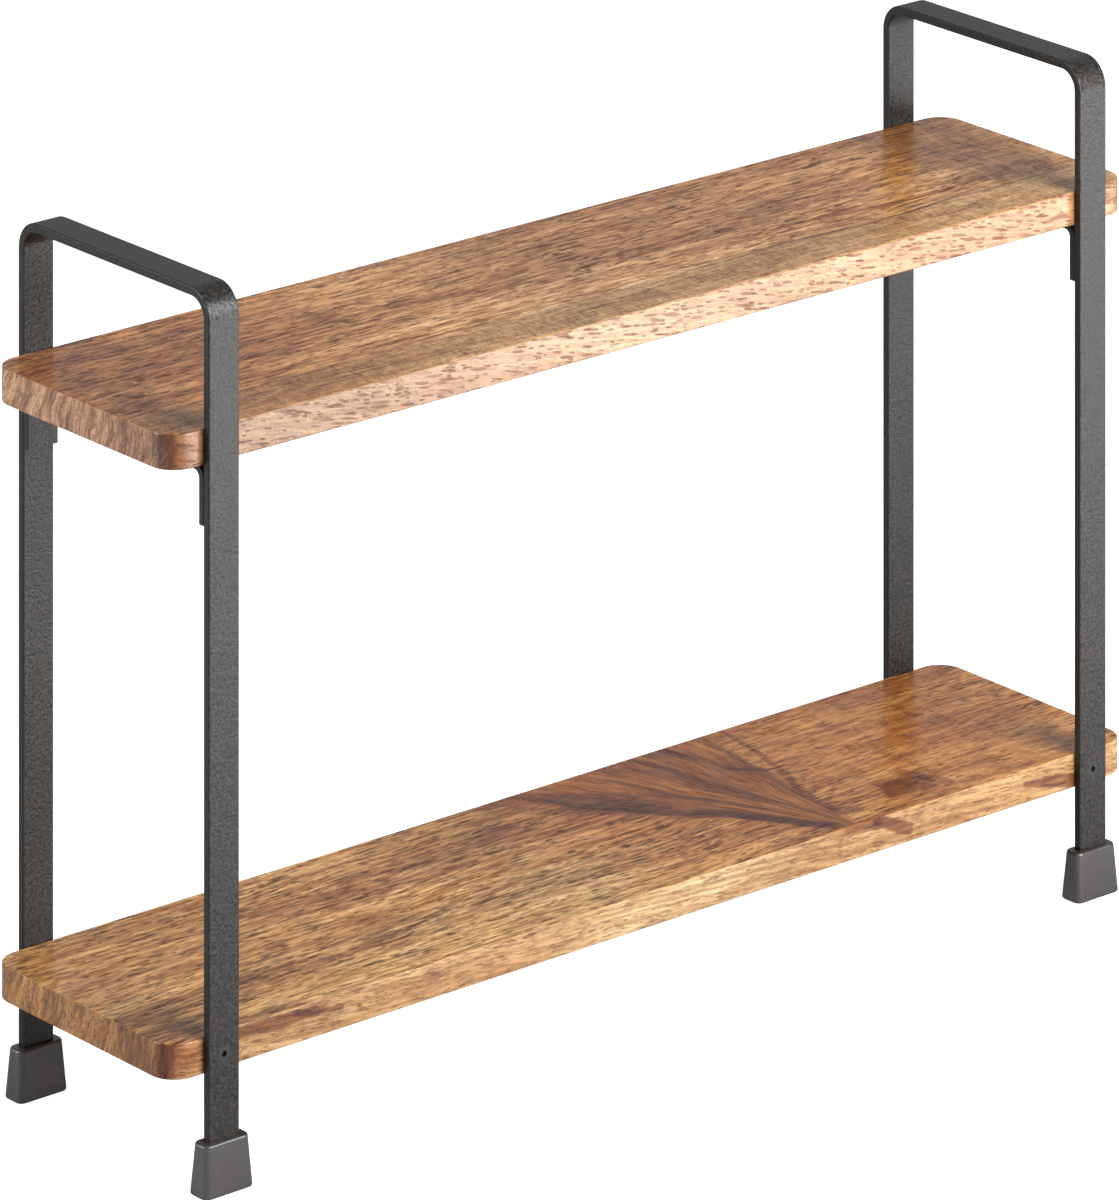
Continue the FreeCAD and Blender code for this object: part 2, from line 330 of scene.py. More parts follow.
# ---------------------------------------------------------------- shader graphs
class Graph:
    """Short calls for the shader nodes that the finishes use."""

    def __init__(self, tree: bpy.types.NodeTree) -> None:
        """Work on a node tree."""
        self.tree = tree

    def add(self, kind: str, **settings: object) -> bpy.types.Node:
        """Add a shader node and set its properties."""
        node = self.tree.nodes.new("ShaderNode" + kind)
        for name, value in settings.items():
            setattr(node, name, value)
        return node

    def feed(self, socket: Socket, value: object) -> None:
        """Link a socket to a value that is a socket, or else set it."""
        if isinstance(value, Socket):
            self.tree.links.new(value, socket)
        else:
            socket.default_value = value

    def math(self, operation: str, *values: object, clamp: bool = False) -> Socket:
        """Add a math node on its values and return its result."""
        node = self.add("Math", operation=operation, use_clamp=clamp)
        for socket, value in zip(node.inputs, values):
            self.feed(socket, value)
        return node.outputs[0]

    def vector(self, operation: str, *values: object) -> Socket:
        """Add a vector math node and return its result, a number for a dot product or length."""
        node = self.add("VectorMath", operation=operation)
        for socket, value in zip(node.inputs, values):
            self.feed(socket, value)
        return node.outputs["Value" if operation in ("DOT_PRODUCT", "LENGTH") else "Vector"]

    def split(self, vector: Socket) -> list[Socket]:
        """The three parts of a vector."""
        node = self.add("SeparateXYZ")
        self.feed(node.inputs[0], vector)
        return list(node.outputs)

    def join(self, *parts: object) -> Socket:
        """A vector from its three parts."""
        node = self.add("CombineXYZ")
        for socket, value in zip(node.inputs, parts):
            self.feed(socket, value)
        return node.outputs[0]

    def ease(self, value: object, low: object, high: object, at_low: float = 0.0,
             at_high: float = 1.0) -> Socket:
        """Smooth step of a value from one result at low to another at high.

        Args:
            value: What is eased.
            low: Value where the step starts.
            high: Value where the step ends.
            at_low: Result at low and before it.
            at_high: Result at high and after it.

        Returns:
            The eased result.
        """
        node = self.add("MapRange", interpolation_type="SMOOTHSTEP")
        for socket, part in zip(node.inputs, (value, low, high, at_low, at_high)):
            self.feed(socket, part)
        return node.outputs[0]

    def noise(self, vector: Socket, detail: float = 2.0, roughness: float = 0.5,
              distortion: float = 0.0) -> Socket:
        """Value of a noise whose lumps are about one unit of its vector across."""
        node = self.add("TexNoise")
        self.feed(node.inputs["Vector"], vector)
        settings = {"Scale": 1.0, "Detail": detail, "Roughness": roughness, "Distortion": distortion}
        for name, value in settings.items():
            self.feed(node.inputs[name], value)
        return node.outputs[0]

    def blend(self, share: object, under: object, over: object, mode: str = "MIX") -> Socket:
        """Lay one colour over another by a share."""
        node = self.add("Mix", data_type="RGBA", blend_type=mode)
        for socket, value in ((node.inputs[0], share), (node.inputs[6], under), (node.inputs[7], over)):
            value = (*value, 1.0) if isinstance(value, tuple) and len(value) == 3 else value
            self.feed(socket, value)
        return node.outputs[2]

    def ramp(self, value: object, stops: list[tuple[float, Colour]]) -> Socket:
        """Colour that runs through the given stops."""
        node = self.add("ValToRGB")
        elements = node.color_ramp.elements
        while len(elements) < len(stops):
            elements.new(1.0)
        for element, (place, colour) in zip(elements, stops):
            element.position = place
            element.color = (*colour, 1.0)
        self.feed(node.inputs[0], value)
        return node.outputs[0]

    def use(self, effect: "Effect", **inputs: object) -> Socket:
        """Place a shared effect and return its first output.

        Args:
            effect: The effect.
            inputs: Values by input name, with underscores for spaces.

        Returns:
            The first output of the group node.
        """
        node = self.add("Group", node_tree=effect.tree())
        for name, value in inputs.items():
            self.feed(node.inputs[name.replace("_", " ").capitalize()], value)
        return node.outputs[0]


class Effect:
    """A shader node group that is built once and shared by the finishes."""

    name = "effect"
    inputs: dict[str, tuple[str, object]] = {}
    output = ("Mask", "NodeSocketFloat")

    def tree(self) -> bpy.types.NodeTree:
        """Return the group, building it the first time."""
        found = bpy.data.node_groups.get(self.name)
        if found is not None:
            return found
        tree = bpy.data.node_groups.new(self.name, "ShaderNodeTree")
        for label, (kind, default) in self.inputs.items():
            socket = tree.interface.new_socket(label, in_out="INPUT", socket_type=kind)
            socket.default_value = default
        tree.interface.new_socket(self.output[0], in_out="OUTPUT", socket_type=self.output[1])
        start, end = tree.nodes.new("NodeGroupInput"), tree.nodes.new("NodeGroupOutput")
        graph = Graph(tree)
        graph.feed(end.inputs[0], self.build(graph, {s.name: s for s in start.outputs if s.name}))
        return tree

    def build(self, graph: Graph, given: dict[str, Socket]) -> Socket:
        """Make the effect's nodes and return its result."""
        raise NotImplementedError


NUMBER, VECTOR = "NodeSocketFloat", "NodeSocketVector"


class GrainFlow(Effect):
    """Coordinates that follow the wood's fibres: slowly waving, and leaning by a slope."""

    name = "grain_flow"
    inputs = {"Place": (VECTOR, (0, 0, 0)), "Wave height": (NUMBER, 3.0), "Wave length": (NUMBER, 90.0),
              "Slope": (NUMBER, 0.0), "Seed": (NUMBER, 0.0)}
    output = ("Place", VECTOR)

    def build(self, graph: Graph, given: dict[str, Socket]) -> Socket:
        """Shift y and z by noise that changes slowly along the board, and y by the slope."""
        x, y, z = graph.split(given["Place"])
        slow = graph.math("DIVIDE", x, given["Wave length"])
        across = graph.math("MULTIPLY", y, 0.02)
        wave_y = graph.noise(graph.join(slow, across, given["Seed"]), 2.0)
        seed = graph.math("ADD", given["Seed"], 7.3)
        wave_z = graph.noise(graph.join(slow, across, seed), 1.0)
        shift_y = graph.math("MULTIPLY", graph.math("SUBTRACT", wave_y, 0.5), given["Wave height"])
        shift_z = graph.math("MULTIPLY", graph.math("SUBTRACT", wave_z, 0.5), given["Wave height"])
        lean = graph.math("MULTIPLY", x, given["Slope"])
        shift_y = graph.math("ADD", graph.math("MULTIPLY", shift_y, 2.0), lean)
        return graph.join(x, graph.math("ADD", y, shift_y), graph.math("ADD", z, shift_z))


class Streaks(Effect):
    """Soft stripes along the fibres."""

    name = "streaks"
    inputs = {"Place": (VECTOR, (0, 0, 0)), "Length": (NUMBER, 60.0), "Width": (NUMBER, 2.0),
              "Depth": (NUMBER, 2.0), "Seed": (NUMBER, 0.0), "Contrast": (NUMBER, 2.0)}

    def build(self, graph: Graph, given: dict[str, Socket]) -> Socket:
        """Noise stretched by the stripe's length, width and depth, spread about a half."""
        size = graph.join(given["Length"], given["Width"], given["Depth"])
        place = graph.vector("DIVIDE", given["Place"], size)
        place = graph.vector("ADD", place, graph.join(given["Seed"], given["Seed"], given["Seed"]))
        spread = graph.math("SUBTRACT", graph.noise(place, 3.0, 0.6, 0.3), 0.5)
        return graph.math("MULTIPLY_ADD", spread, given["Contrast"], 0.5, clamp=True)


class Pores(Effect):
    """Short dark dashes, where the cut opens the wood's vessels."""

    name = "pores"
    inputs = {"Place": (VECTOR, (0, 0, 0)), "Length": (NUMBER, 9.0), "Width": (NUMBER, 2.0),
              "Depth": (NUMBER, 2.0), "Share": (NUMBER, 0.5), "Seed": (NUMBER, 0.0),
              "Size": (NUMBER, 0.3)}

    def build(self, graph: Graph, given: dict[str, Socket]) -> Socket:
        """An ellipsoid round each point of a stretched scatter, in a share of its cells."""
        size = graph.join(given["Length"], given["Width"], given["Depth"])
        place = graph.vector("DIVIDE", given["Place"], size)
        place = graph.vector("ADD", place, graph.join(given["Seed"], given["Seed"], given["Seed"]))
        cells = graph.add("TexVoronoi", feature="F1", voronoi_dimensions="3D")
        graph.feed(cells.inputs["Vector"], place)
        graph.feed(cells.inputs["Scale"], 1.0)
        chance, vary, _ = graph.split(cells.outputs["Color"])
        reach = graph.math("MULTIPLY", given["Size"], graph.math("MULTIPLY_ADD", vary, 0.8, 0.5))
        inner = graph.math("MULTIPLY", reach, 0.6)
        mark = graph.ease(cells.outputs["Distance"], inner, reach, 1.0, 0.0)
        return graph.math("MULTIPLY", mark, graph.math("LESS_THAN", chance, given["Share"]))


class Stroke(Effect):
    """A bowed, tapering band between two points of a face."""

    name = "stroke"
    inputs = {"Place": (VECTOR, (0, 0, 0)), "Start": (VECTOR, (0, 0, 0)), "End": (VECTOR, (1, 0, 0)),
              "Bow": (NUMBER, 0.0), "Start width": (NUMBER, 1.0), "End width": (NUMBER, 1.0),
              "Softness": (NUMBER, 1.0)}

    def build(self, graph: Graph, given: dict[str, Socket]) -> Socket:
        """Ease out the distance from a parabola over the line from start to end."""
        run = graph.vector("SUBTRACT", given["End"], given["Start"])
        length = graph.vector("LENGTH", run)
        way = graph.vector("NORMALIZE", run)
        side = graph.vector("CROSS_PRODUCT", (0.0, 0.0, 1.0), way)
        offset = graph.vector("SUBTRACT", given["Place"], given["Start"])
        along = graph.math("DIVIDE", graph.vector("DOT_PRODUCT", offset, way), length)
        rest = graph.math("SUBTRACT", 1.0, along)
        rise = graph.math("MULTIPLY", graph.math("MULTIPLY", along, 4.0), rest)
        line = graph.math("MULTIPLY", rise, given["Bow"])
        aside = graph.vector("DOT_PRODUCT", offset, side)
        apart = graph.math("ABSOLUTE", graph.math("SUBTRACT", aside, line))
        growth = graph.math("SUBTRACT", given["End width"], given["Start width"])
        width = graph.math("MULTIPLY_ADD", along, growth, given["Start width"])
        width = graph.math("MAXIMUM", width, 0.0)
        band = graph.ease(apart, width, graph.math("ADD", width, given["Softness"]), 1.0, 0.0)
        margin = graph.math("DIVIDE", given["Softness"], length)
        before = graph.ease(along, graph.math("MULTIPLY", margin, -1.0), margin)
        low, high = graph.math("SUBTRACT", 1.0, margin), graph.math("ADD", 1.0, margin)
        after = graph.ease(along, low, high, 1.0, 0.0)
        return graph.math("MULTIPLY", band, graph.math("MULTIPLY", before, after))


class Speckle(Effect):
    """Fine lumps of a textured coat or a moulded skin."""

    name = "speckle"
    inputs = {"Place": (VECTOR, (0, 0, 0)), "Size": (NUMBER, 1.0), "Contrast": (NUMBER, 2.0)}

    def build(self, graph: Graph, given: dict[str, Socket]) -> Socket:
        """Noise of one lump size and its finer half, spread about a half."""
        place = graph.vector("DIVIDE", given["Place"], graph.join(*[given["Size"]] * 3))
        spread = graph.math("SUBTRACT", graph.noise(place, 2.0, 0.6), 0.5)
        return graph.math("MULTIPLY_ADD", spread, given["Contrast"], 0.5, clamp=True)


class Finish:
    """A material built from nodes on Object coordinates in millimetres."""

    name: str

    def material(self) -> bpy.types.Material:
        """Return the material, building it the first time."""
        found = bpy.data.materials.get(self.name)
        if found is not None:
            return found
        made = bpy.data.materials.new(self.name)
        made.use_nodes = True
        graph = Graph(made.node_tree)
        shader = made.node_tree.nodes["Principled BSDF"]
        coordinates = graph.add("TexCoord")
        place = graph.vector("SCALE", coordinates.outputs["Object"])
        place.node.inputs["Scale"].default_value = 1 / MM
        self.dress(graph, shader, place, coordinates.outputs["Normal"])
        return made

    def dress(self, graph: Graph, shader: bpy.types.Node, place: Socket, normal: Socket) -> None:
        """Build the nodes that feed the shader."""
        raise NotImplementedError

    @staticmethod
    def bump(graph: Graph, shader: bpy.types.Node, height: Socket, depth: float) -> None:
        """Raise the surface by a height of 0 to 1 times a depth in metres."""
        node = graph.add("Bump")
        graph.feed(node.inputs["Height"], height)
        node.inputs["Distance"].default_value = depth
        graph.feed(shader.inputs["Normal"], node.outputs[0])


@dataclass(frozen=True)
class PowderCoat(Finish):
    """Fine-textured charcoal powder coat on steel, with painted shade on the bar's narrow sides, which face
    along X.
    """

    name: str = "charcoal_powder_coat"
    light: Colour = tone(49, 46, 44)
    dark: Colour = tone(12, 11, 10)
    # edge: tone of the painted shade on the bar's narrow sides, which face along X
    edge: Colour = tone(16, 15, 14)
    lump: float = 1.5
    roughness: float = 0.3
    specular: float = 0.33
    relief: float = 0.12 * MM

    def dress(self, graph: Graph, shader: bpy.types.Node, place: Socket, normal: Socket) -> None:
        """Mottle the grey and dent the surface with the same lumps."""
        lumps = graph.use(Speckle(), place=place, size=self.lump, contrast=2.6)
        colour = graph.blend(lumps, self.dark, self.light)
        # Painted shade: faces turned along X, the bar's narrow sides, are blended towards the darker edge
        # tone.
        across, _, _ = graph.split(normal)
        painted_side_shade = graph.ease(graph.math("ABSOLUTE", across), 0.5, 0.95)
        colour = graph.blend(painted_side_shade, colour, self.edge)
        graph.feed(shader.inputs["Base Color"], colour)
        graph.feed(shader.inputs["Roughness"], graph.math("MULTIPLY_ADD", lumps, 0.12, self.roughness))
        shader.inputs["Specular IOR Level"].default_value = self.specular
        self.bump(graph, shader, lumps, self.relief)


@dataclass(frozen=True)
class MouldedRubber(Finish):
    """Semi-matt warm-grey rubber with a very fine moulded skin."""

    name: str = "moulded_rubber"
    light: Colour = tone(43, 39, 37)
    dark: Colour = tone(35, 32, 31)
    roughness: float = 0.36
    specular: float = 0.95
    relief: float = 0.01 * MM

    def dress(self, graph: Graph, shader: bpy.types.Node, place: Socket, normal: Socket) -> None:
        """Vary the grey slowly and the skin finely."""
        clouds = graph.use(Speckle(), place=place, size=6.0, contrast=2.0)
        skin = graph.use(Speckle(), place=place, size=0.35, contrast=2.0)
        graph.feed(shader.inputs["Base Color"], graph.blend(clouds, self.dark, self.light))
        graph.feed(shader.inputs["Roughness"], graph.math("MULTIPLY_ADD", skin, 0.1, self.roughness))
        shader.inputs["Specular IOR Level"].default_value = self.specular
        self.bump(graph, shader, skin, self.relief)


@dataclass(frozen=True)
class ScrewFinish(Finish):
    """Dark screw finish: satin, with fine lumps and worn lighter spots."""

    name: str = "black_zinc"
    base: Colour = tone(52, 52, 54)
    worn: Colour = tone(104, 102, 98)
    roughness: float = 0.34
    metallic: float = 0.75
    relief: float = 0.02 * MM

    def dress(self, graph: Graph, shader: bpy.types.Node, place: Socket, normal: Socket) -> None:
        """Wear the plating in small patches."""
        lumps = graph.use(Speckle(), place=place, size=0.8, contrast=3.0)
        worn = graph.ease(lumps, 0.7, 1.0)
        graph.feed(shader.inputs["Base Color"], graph.blend(worn, self.base, self.worn))
        graph.feed(shader.inputs["Roughness"], graph.math("MULTIPLY_ADD", lumps, 0.15, self.roughness))
        shader.inputs["Metallic"].default_value = self.metallic
        self.bump(graph, shader, lumps, self.relief)


@dataclass(frozen=True)
class Cut:
    """How one cut through the wood looks, in millimetres, with x along the fibres."""

    stops: tuple[tuple[float, Colour], ...]
    pore: Colour
    streak: tuple[float, float] = (32.0, 2.6)
    band: tuple[float, float] = (150.0, 14.0)
    fleck: tuple[float, float] = (14.0, 5.0)
    fleck_share: float = 0.38
    wave: tuple[float, float] = (4.5, 90.0)
    slope: float = 0.0
    dash: tuple[float, float] = (12.0, 2.7)
    dash_share: float = 0.8
    dash_size: float = 0.4
    dash_strength: float = 0.8
    fibre: tuple[float, float] = (9.0, 1.1)
    fibre_strength: float = 0.4


@dataclass(frozen=True)
class Mark:
    """A stroke of figure on a face of a board, in millimetres in the board's own face; a few strokes are
    painted shade.

    The tint multiplies the wood's own colour, so its streaks and pores show through.
    """

    start: tuple[float, float]
    end: tuple[float, float]
    widths: tuple[float, float]
    softness: float
    tint: Colour
    strength: float
    bow: float = 0.0
    broken: float = 0.35


@dataclass(frozen=True)
class Wash:
    """Slow changes of tone: tints at even steps along a face, and across it."""

    along: tuple[Colour, ...]
    across: tuple[Colour, ...] = ((1.0, 1.0, 1.0), (1.0, 1.0, 1.0))


@dataclass(frozen=True)
class Swirl:
    """A part of a face whose fibres leave the board's length: they run to a focus, or across."""

    start: tuple[float, float]
    end: tuple[float, float]
    widths: tuple[float, float]
    softness: float
    cut: Cut
    strength: float = 1.0
    bow: float = 0.0
    focus: tuple[float, float] | None = None


@dataclass(frozen=True)
class Timber(Finish):
    """Oiled hardwood of one board: streaked faces, dashed long edges and ringed ends."""

    name: str
    seed: float
    face: Cut
    edge: Cut
    end: Cut
    half: tuple[float, float] = (271.5, 61.75)
    face_wash: Wash | None = None
    edge_wash: Wash | None = None
    swirls: tuple[Swirl, ...] = ()
    face_marks: tuple[Mark, ...] = ()
    edge_marks: tuple[Mark, ...] = ()
    end_marks: tuple[Mark, ...] = ()
    roughness: float = 0.2
    pore_roughness: float = 0.3
    lacquer_ior: float = 1.5
    pore_relief: float = 0.05 * MM
    fan_radius: float = 70.0

    def grain(self, graph: Graph, place: Socket, cut: Cut, shift: float) -> tuple[Socket, Socket]:
        """Colour and pores of one cut: bands, streaks, flecks, pore dashes and fine fibres.

        Args:
            graph: Where the nodes go.
            place: Coordinates in millimetres, x along the fibres.
            cut: The look of the cut.
            shift: Number that sets this cut's pattern apart from the others.

        Returns:
            The colour, and how deep the pores are there.
        """
        seed = self.seed + shift
        flow = graph.use(GrainFlow(), place=place, wave_height=cut.wave[0], wave_length=cut.wave[1],
                         slope=cut.slope, seed=seed)

        def streaks(size: tuple[float, float], depth: float, step: float, contrast: float) -> Socket:
            """Streaks of one size."""
            return graph.use(Streaks(), place=flow, length=size[0], width=size[1], depth=depth,
                             seed=seed + step, contrast=contrast)

        bands = streaks(cut.band, 30.0, 2.1, 3.0)
        middle = streaks(cut.streak, 6.0, 5.7, 3.4)
        value = graph.math("MULTIPLY_ADD", middle, 0.6, graph.math("MULTIPLY", bands, 0.4))
        colour = graph.ramp(value, list(cut.stops))
        flecks = graph.ease(streaks(cut.fleck, 8.0, 4.4, 3.0), 0.5, 0.95)
        colour = graph.blend(graph.math("MULTIPLY", flecks, cut.fleck_share), colour, cut.pore)
        long_dash = graph.use(Pores(), place=flow, length=cut.dash[0] * 1.5, width=cut.dash[1], depth=3.6,
                              share=cut.dash_share, seed=seed + 3.3, size=cut.dash_size)
        short_dash = graph.use(Pores(), place=flow, length=cut.dash[0] * 0.7, width=cut.dash[1] * 0.8,
                               depth=3.0, share=cut.dash_share, seed=seed + 6.1, size=cut.dash_size)
        dashes = graph.math("MAXIMUM", long_dash, short_dash)
        dashes = graph.math("MULTIPLY", dashes, graph.math("MULTIPLY_ADD", flecks, 0.6, 0.7), clamp=True)
        colour = graph.blend(graph.math("MULTIPLY", dashes, cut.dash_strength), colour, cut.pore)
        fibres = graph.ease(streaks(cut.fibre, 1.5, 9.9, 4.0), 0.45, 1.0)
        colour = graph.blend(graph.math("MULTIPLY", fibres, cut.fibre_strength), colour, cut.pore)
        return colour, graph.math("MULTIPLY_ADD", fibres, 0.25, dashes, clamp=True)

    def swirled(self, graph: Graph, place: Socket, under: tuple[Socket, Socket]) -> tuple[Socket, Socket]:
        """Lay the parts with turned fibres over the face.

        Towards a focus, x is the distance from it and y the angle about it times a radius.

        Args:
            graph: Where the nodes go.
            place: Coordinates in millimetres.
            under: Colour and pores of the face.

        Returns:
            Colour and pores with the swirls.
        """
        colour, pores = under
        for index, swirl in enumerate(self.swirls):
            if swirl.focus is None:
                x, y, z = graph.split(place)
                turned_place = graph.join(y, x, z)
            else:
                offset = graph.vector("SUBTRACT", place, (*swirl.focus, 0.0))
                x, y, z = graph.split(offset)
                distance = graph.vector("LENGTH", graph.join(x, y, 0.0))
                angle = graph.math("MULTIPLY", graph.math("ARCTAN2", x, y), self.fan_radius)
                turned_place = graph.join(distance, angle, z)
            own, own_pores = self.grain(graph, turned_place, swirl.cut, SWIRL_SHIFT + index)
            mask = self.stroke(graph, self.ruffled(graph, place), swirl)
            mask = graph.math("MULTIPLY", mask, swirl.strength)
            colour = graph.blend(mask, colour, own)
            pores = graph.math("MULTIPLY_ADD", graph.math("SUBTRACT", own_pores, pores), mask, pores)
        return colour, pores

    @staticmethod
    def ruffled(graph: Graph, place: Socket) -> Socket:
        """Coordinates in a face with a gentle natural wander."""
        node = graph.add("TexNoise")
        graph.feed(node.inputs["Vector"], graph.vector("MULTIPLY", place, (0.025, 0.03, 0.0)))
        graph.feed(node.inputs["Scale"], 1.0)
        graph.feed(node.inputs["Detail"], 1.5)
        shift = graph.vector("SUBTRACT", node.outputs["Color"], (0.5, 0.5, 0.5))
        shifted = graph.vector("ADD", place, graph.vector("MULTIPLY", shift, (11.0, 8.0, 0.0)))
        return graph.vector("MULTIPLY", shifted, (1.0, 1.0, 0.0))

    @staticmethod
    def stroke(graph: Graph, place: Socket, shape: Mark | Swirl) -> Socket:
        """Mask of a mark or a swirl."""
        return graph.use(Stroke(), place=place, start=(*shape.start, 0.0), end=(*shape.end, 0.0),
                         bow=shape.bow, start_width=shape.widths[0],
                         end_width=shape.widths[1], softness=shape.softness)

    def washed(self, graph: Graph, place: Socket, colour: Socket, wash: Wash | None) -> Socket:
        """Multiply the colour by the tints of a wash; a ramp holds half of each tint."""
        if wash is None:
            return colour
        x, y, _ = graph.split(place)
        for value, half, tints in ((x, self.half[0], wash.along), (y, self.half[1], wash.across)):
            share = graph.ease(value, -half, half)
            stops = [((index + 0.5) / len(tints), tuple(part / 2 for part in tint))
                     for index, tint in enumerate(tints)]
            tint = graph.vector("SCALE", graph.ramp(share, stops))
            tint.node.inputs["Scale"].default_value = 2.0
            colour = graph.blend(1.0, colour, tint, "MULTIPLY")
        return colour

    def marked(self, graph: Graph, place: Socket, colour: Socket, marks: tuple[Mark, ...]) -> Socket:
        """Lay the board's own figure, with a few strokes of painted shade, over a face.

        Args:
            graph: Where the nodes go.
            place: Coordinates in the face, in millimetres.
            colour: Colour under the figure.
            marks: The strokes of figure and of painted shade.

        Returns:
            The colour with the figure.
        """
        if not marks:
            return colour
        wander = self.ruffled(graph, place)
        pieces = graph.use(Streaks(), place=place, length=16.0, width=1.5, depth=4.0,
                           seed=self.seed + MARK_SHIFT, contrast=3.4)
        pieces = graph.ease(pieces, 0.3, 0.75)
        for mark in marks:
            texture = graph.math("MULTIPLY_ADD", pieces, mark.broken, 1.0 - mark.broken)
            share = graph.math("MULTIPLY", self.stroke(graph, wander, mark), texture)
            share = graph.math("MULTIPLY", share, mark.strength, clamp=True)
            colour = graph.blend(share, colour, mark.tint, "MULTIPLY")
        return colour

    def dress(self, graph: Graph, shader: bpy.types.Node, place: Socket, normal: Socket) -> None:
        """Mix the three cuts by the way the surface faces: top, long edge or end."""
        x, y, z = graph.split(place)
        colour, pores = self.swirled(graph, place, self.grain(graph, place, self.face, 0.0))
        colour = self.washed(graph, place, colour, self.face_wash)
        colour = self.marked(graph, place, colour, self.face_marks)
        upright = graph.join(x, z, y)
        edge_colour, edge_pores = self.grain(graph, upright, self.edge, EDGE_SHIFT)
        edge_colour = self.washed(graph, upright, edge_colour, self.edge_wash)
        edge_colour = self.marked(graph, graph.join(x, z, 0.0), edge_colour, self.edge_marks)
        end_colour, end_pores = self.grain(graph, graph.join(z, y, x), self.end, END_SHIFT)
        end_colour = self.marked(graph, graph.join(z, y, 0.0), end_colour, self.end_marks)
        along, across, _ = (graph.math("ABSOLUTE", part) for part in graph.split(normal))
        is_edge, is_end = graph.ease(across, 0.45, 0.8), graph.ease(along, 0.45, 0.85)
        colour = graph.blend(is_end, graph.blend(is_edge, colour, edge_colour), end_colour)
        graph.feed(shader.inputs["Base Color"], colour)
        for mask, own in ((is_edge, edge_pores), (is_end, end_pores)):
            pores = graph.math("MULTIPLY_ADD", graph.math("SUBTRACT", own, pores), mask, pores)
        rough = graph.math("MULTIPLY_ADD", pores, self.pore_roughness, self.roughness)
        graph.feed(shader.inputs["Roughness"], rough)
        shader.inputs["IOR"].default_value = self.lacquer_ior
        self.bump(graph, shader, graph.math("SUBTRACT", 1.0, pores), self.pore_relief)


# ---------------------------------------------------------------- sub-assemblies
def settle(piece: bpy.types.Object, finish: Finish, slot: str, *nodes: str) -> None:
    """Dress a piece, put it on its body in place of CAD nodes, and say so in the log.

    Args:
        piece: The new piece.
        finish: Its finish.
        slot: Not used.
        nodes: CAD nodes it stands for.
    """
    piece.data.materials.append(finish.material())
    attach(piece, BODY)
    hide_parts(*nodes)
    LOG.info("%s: %d faces, stands for %s", piece.name, len(piece.data.polygons), ", ".join(nodes))


@dataclass
class Board:
    """Solid board with rounded corners in plan, eased arrises and blind pilot holes."""

    node: str
    finish: Timber
    corner_radius: float = 12.0 * MM
    eased_edge: float = 0.7 * MM
    corner_steps: int = 16
    edge_steps: int = 5
    pilot_radius: float = 1.75 * MM
    pilot_depth: float = 10.0 * MM
    pilot_steps: int = 24
    pilots: list[tuple[Vector, Vector]] = field(default_factory=list)

    def shell(self) -> Shell:
        """Rounded outlines stacked up the thickness, inset along a quarter circle at each arris."""
        low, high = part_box(self.node)
        centre, half = (low + high) / 2, (high - low) / 2
        turn = np.linspace(0, QUARTER, self.edge_steps + 1)
        inset = self.eased_edge * (1 - np.sin(turn))
        rise = self.eased_edge * (1 - np.cos(turn))
        inset = np.concatenate([inset, inset[::-1]])
        height = np.concatenate([low.z + rise, high.z - rise[::-1]])
        loops = rounded_loops(half.x - inset, half.y - inset, self.corner_radius - inset, self.corner_steps)
        grid = np.empty((*loops.shape[:2], 3))
        grid[..., :2] = loops + np.array([centre.x, centre.y])
        grid[..., 2] = height[:, None]
        keep = np.ones((len(grid) - 1, grid.shape[1]), bool)
        shell = Shell()
        bores = [turned(np.array([[self.pilot_radius, 0.0], [self.pilot_radius, self.pilot_depth],
                                  [0.0, self.pilot_depth]]), mouth, inward, self.pilot_steps)
                 for mouth, inward in self.pilots]
        for bore in bores:
            shell.grid(bore)
        under = [bore[0] for bore, (_, inward) in zip(bores, self.pilots) if inward.z > 0.5]
        shell.flat(grid[0], under, (0, 1))
        shell.flat(grid[-1], [], (0, 1))
        for side, sign in ((Flat.PLUS_Y, -1), (Flat.MINUS_Y, 1)):
            rings = [bore[0] for bore, (_, inward) in zip(bores, self.pilots) if inward.y * sign > 0.5]
            if rings:
                row, column = self.edge_steps, side.column(self.corner_steps)
                keep[row, column] = False
                patch = grid[[row, row + 1, row + 1, row], [column, column, column + 1, column + 1]]
                shell.flat(patch, rings, (0, 2))
        shell.grid(grid, keep)
        return shell

    def make(self) -> None:
        """Build the board and put it in place."""
        settle(self.shell().piece(self.node + "_wood"), self.finish, "board_wood", self.node)


@dataclass
class EndFrame:
    """One end frame: an inverted U of flat bar with a countersunk hole through each leg."""

    side: Side
    finish: PowderCoat
    thickness: float = 4.0 * MM
    edge_radius: float = 0.75 * MM
    bend_inner_radius: float = 8.5 * MM
    hole_mouth: float = 3.2 * MM
    hole_radius: float = 1.9 * MM
    hole_sunk: float = 0.1 * MM

    @property
    def node(self) -> str:
        """Name of the CAD node."""
        return f"{self.side.name.lower()}_frame"

    def make(self, hole_height: float) -> None:
        """Build the frame and put it in place.

        Args:
            hole_height: Height of the leg holes above the floor.
        """
        low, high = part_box(self.node)
        half = self.thickness / 2
        bar = BentBar((high.x - low.x) / 2, half, self.edge_radius)
        corners = np.array([[low.y + half, low.z], [low.y + half, high.z - half],
                            [high.y - half, high.z - half], [high.y - half, low.z]])
        radius = self.bend_inner_radius + half
        straight = high.z - half - radius - low.z
        rail = high.y - low.y - self.thickness - 2 * radius
        chord = 2 * radius * math.sin(QUARTER / 2 / bar.bend_steps)
        total = 2 * straight + rail + 2 * bar.bend_steps * chord
        profile = np.array([[self.hole_mouth, 0.0], [self.hole_mouth, self.hole_sunk],
                            [self.hole_radius, self.hole_sunk + self.hole_mouth - self.hole_radius],
                            [self.hole_radius, self.thickness]])
        up = hole_height - low.z
        shell = bar.shell((low.x + high.x) / 2, 1, corners, radius, [(up, profile), (total - up, profile)])
        settle(shell.piece(self.node + "_bar"), self.finish, "frame_powder_coat", self.node)


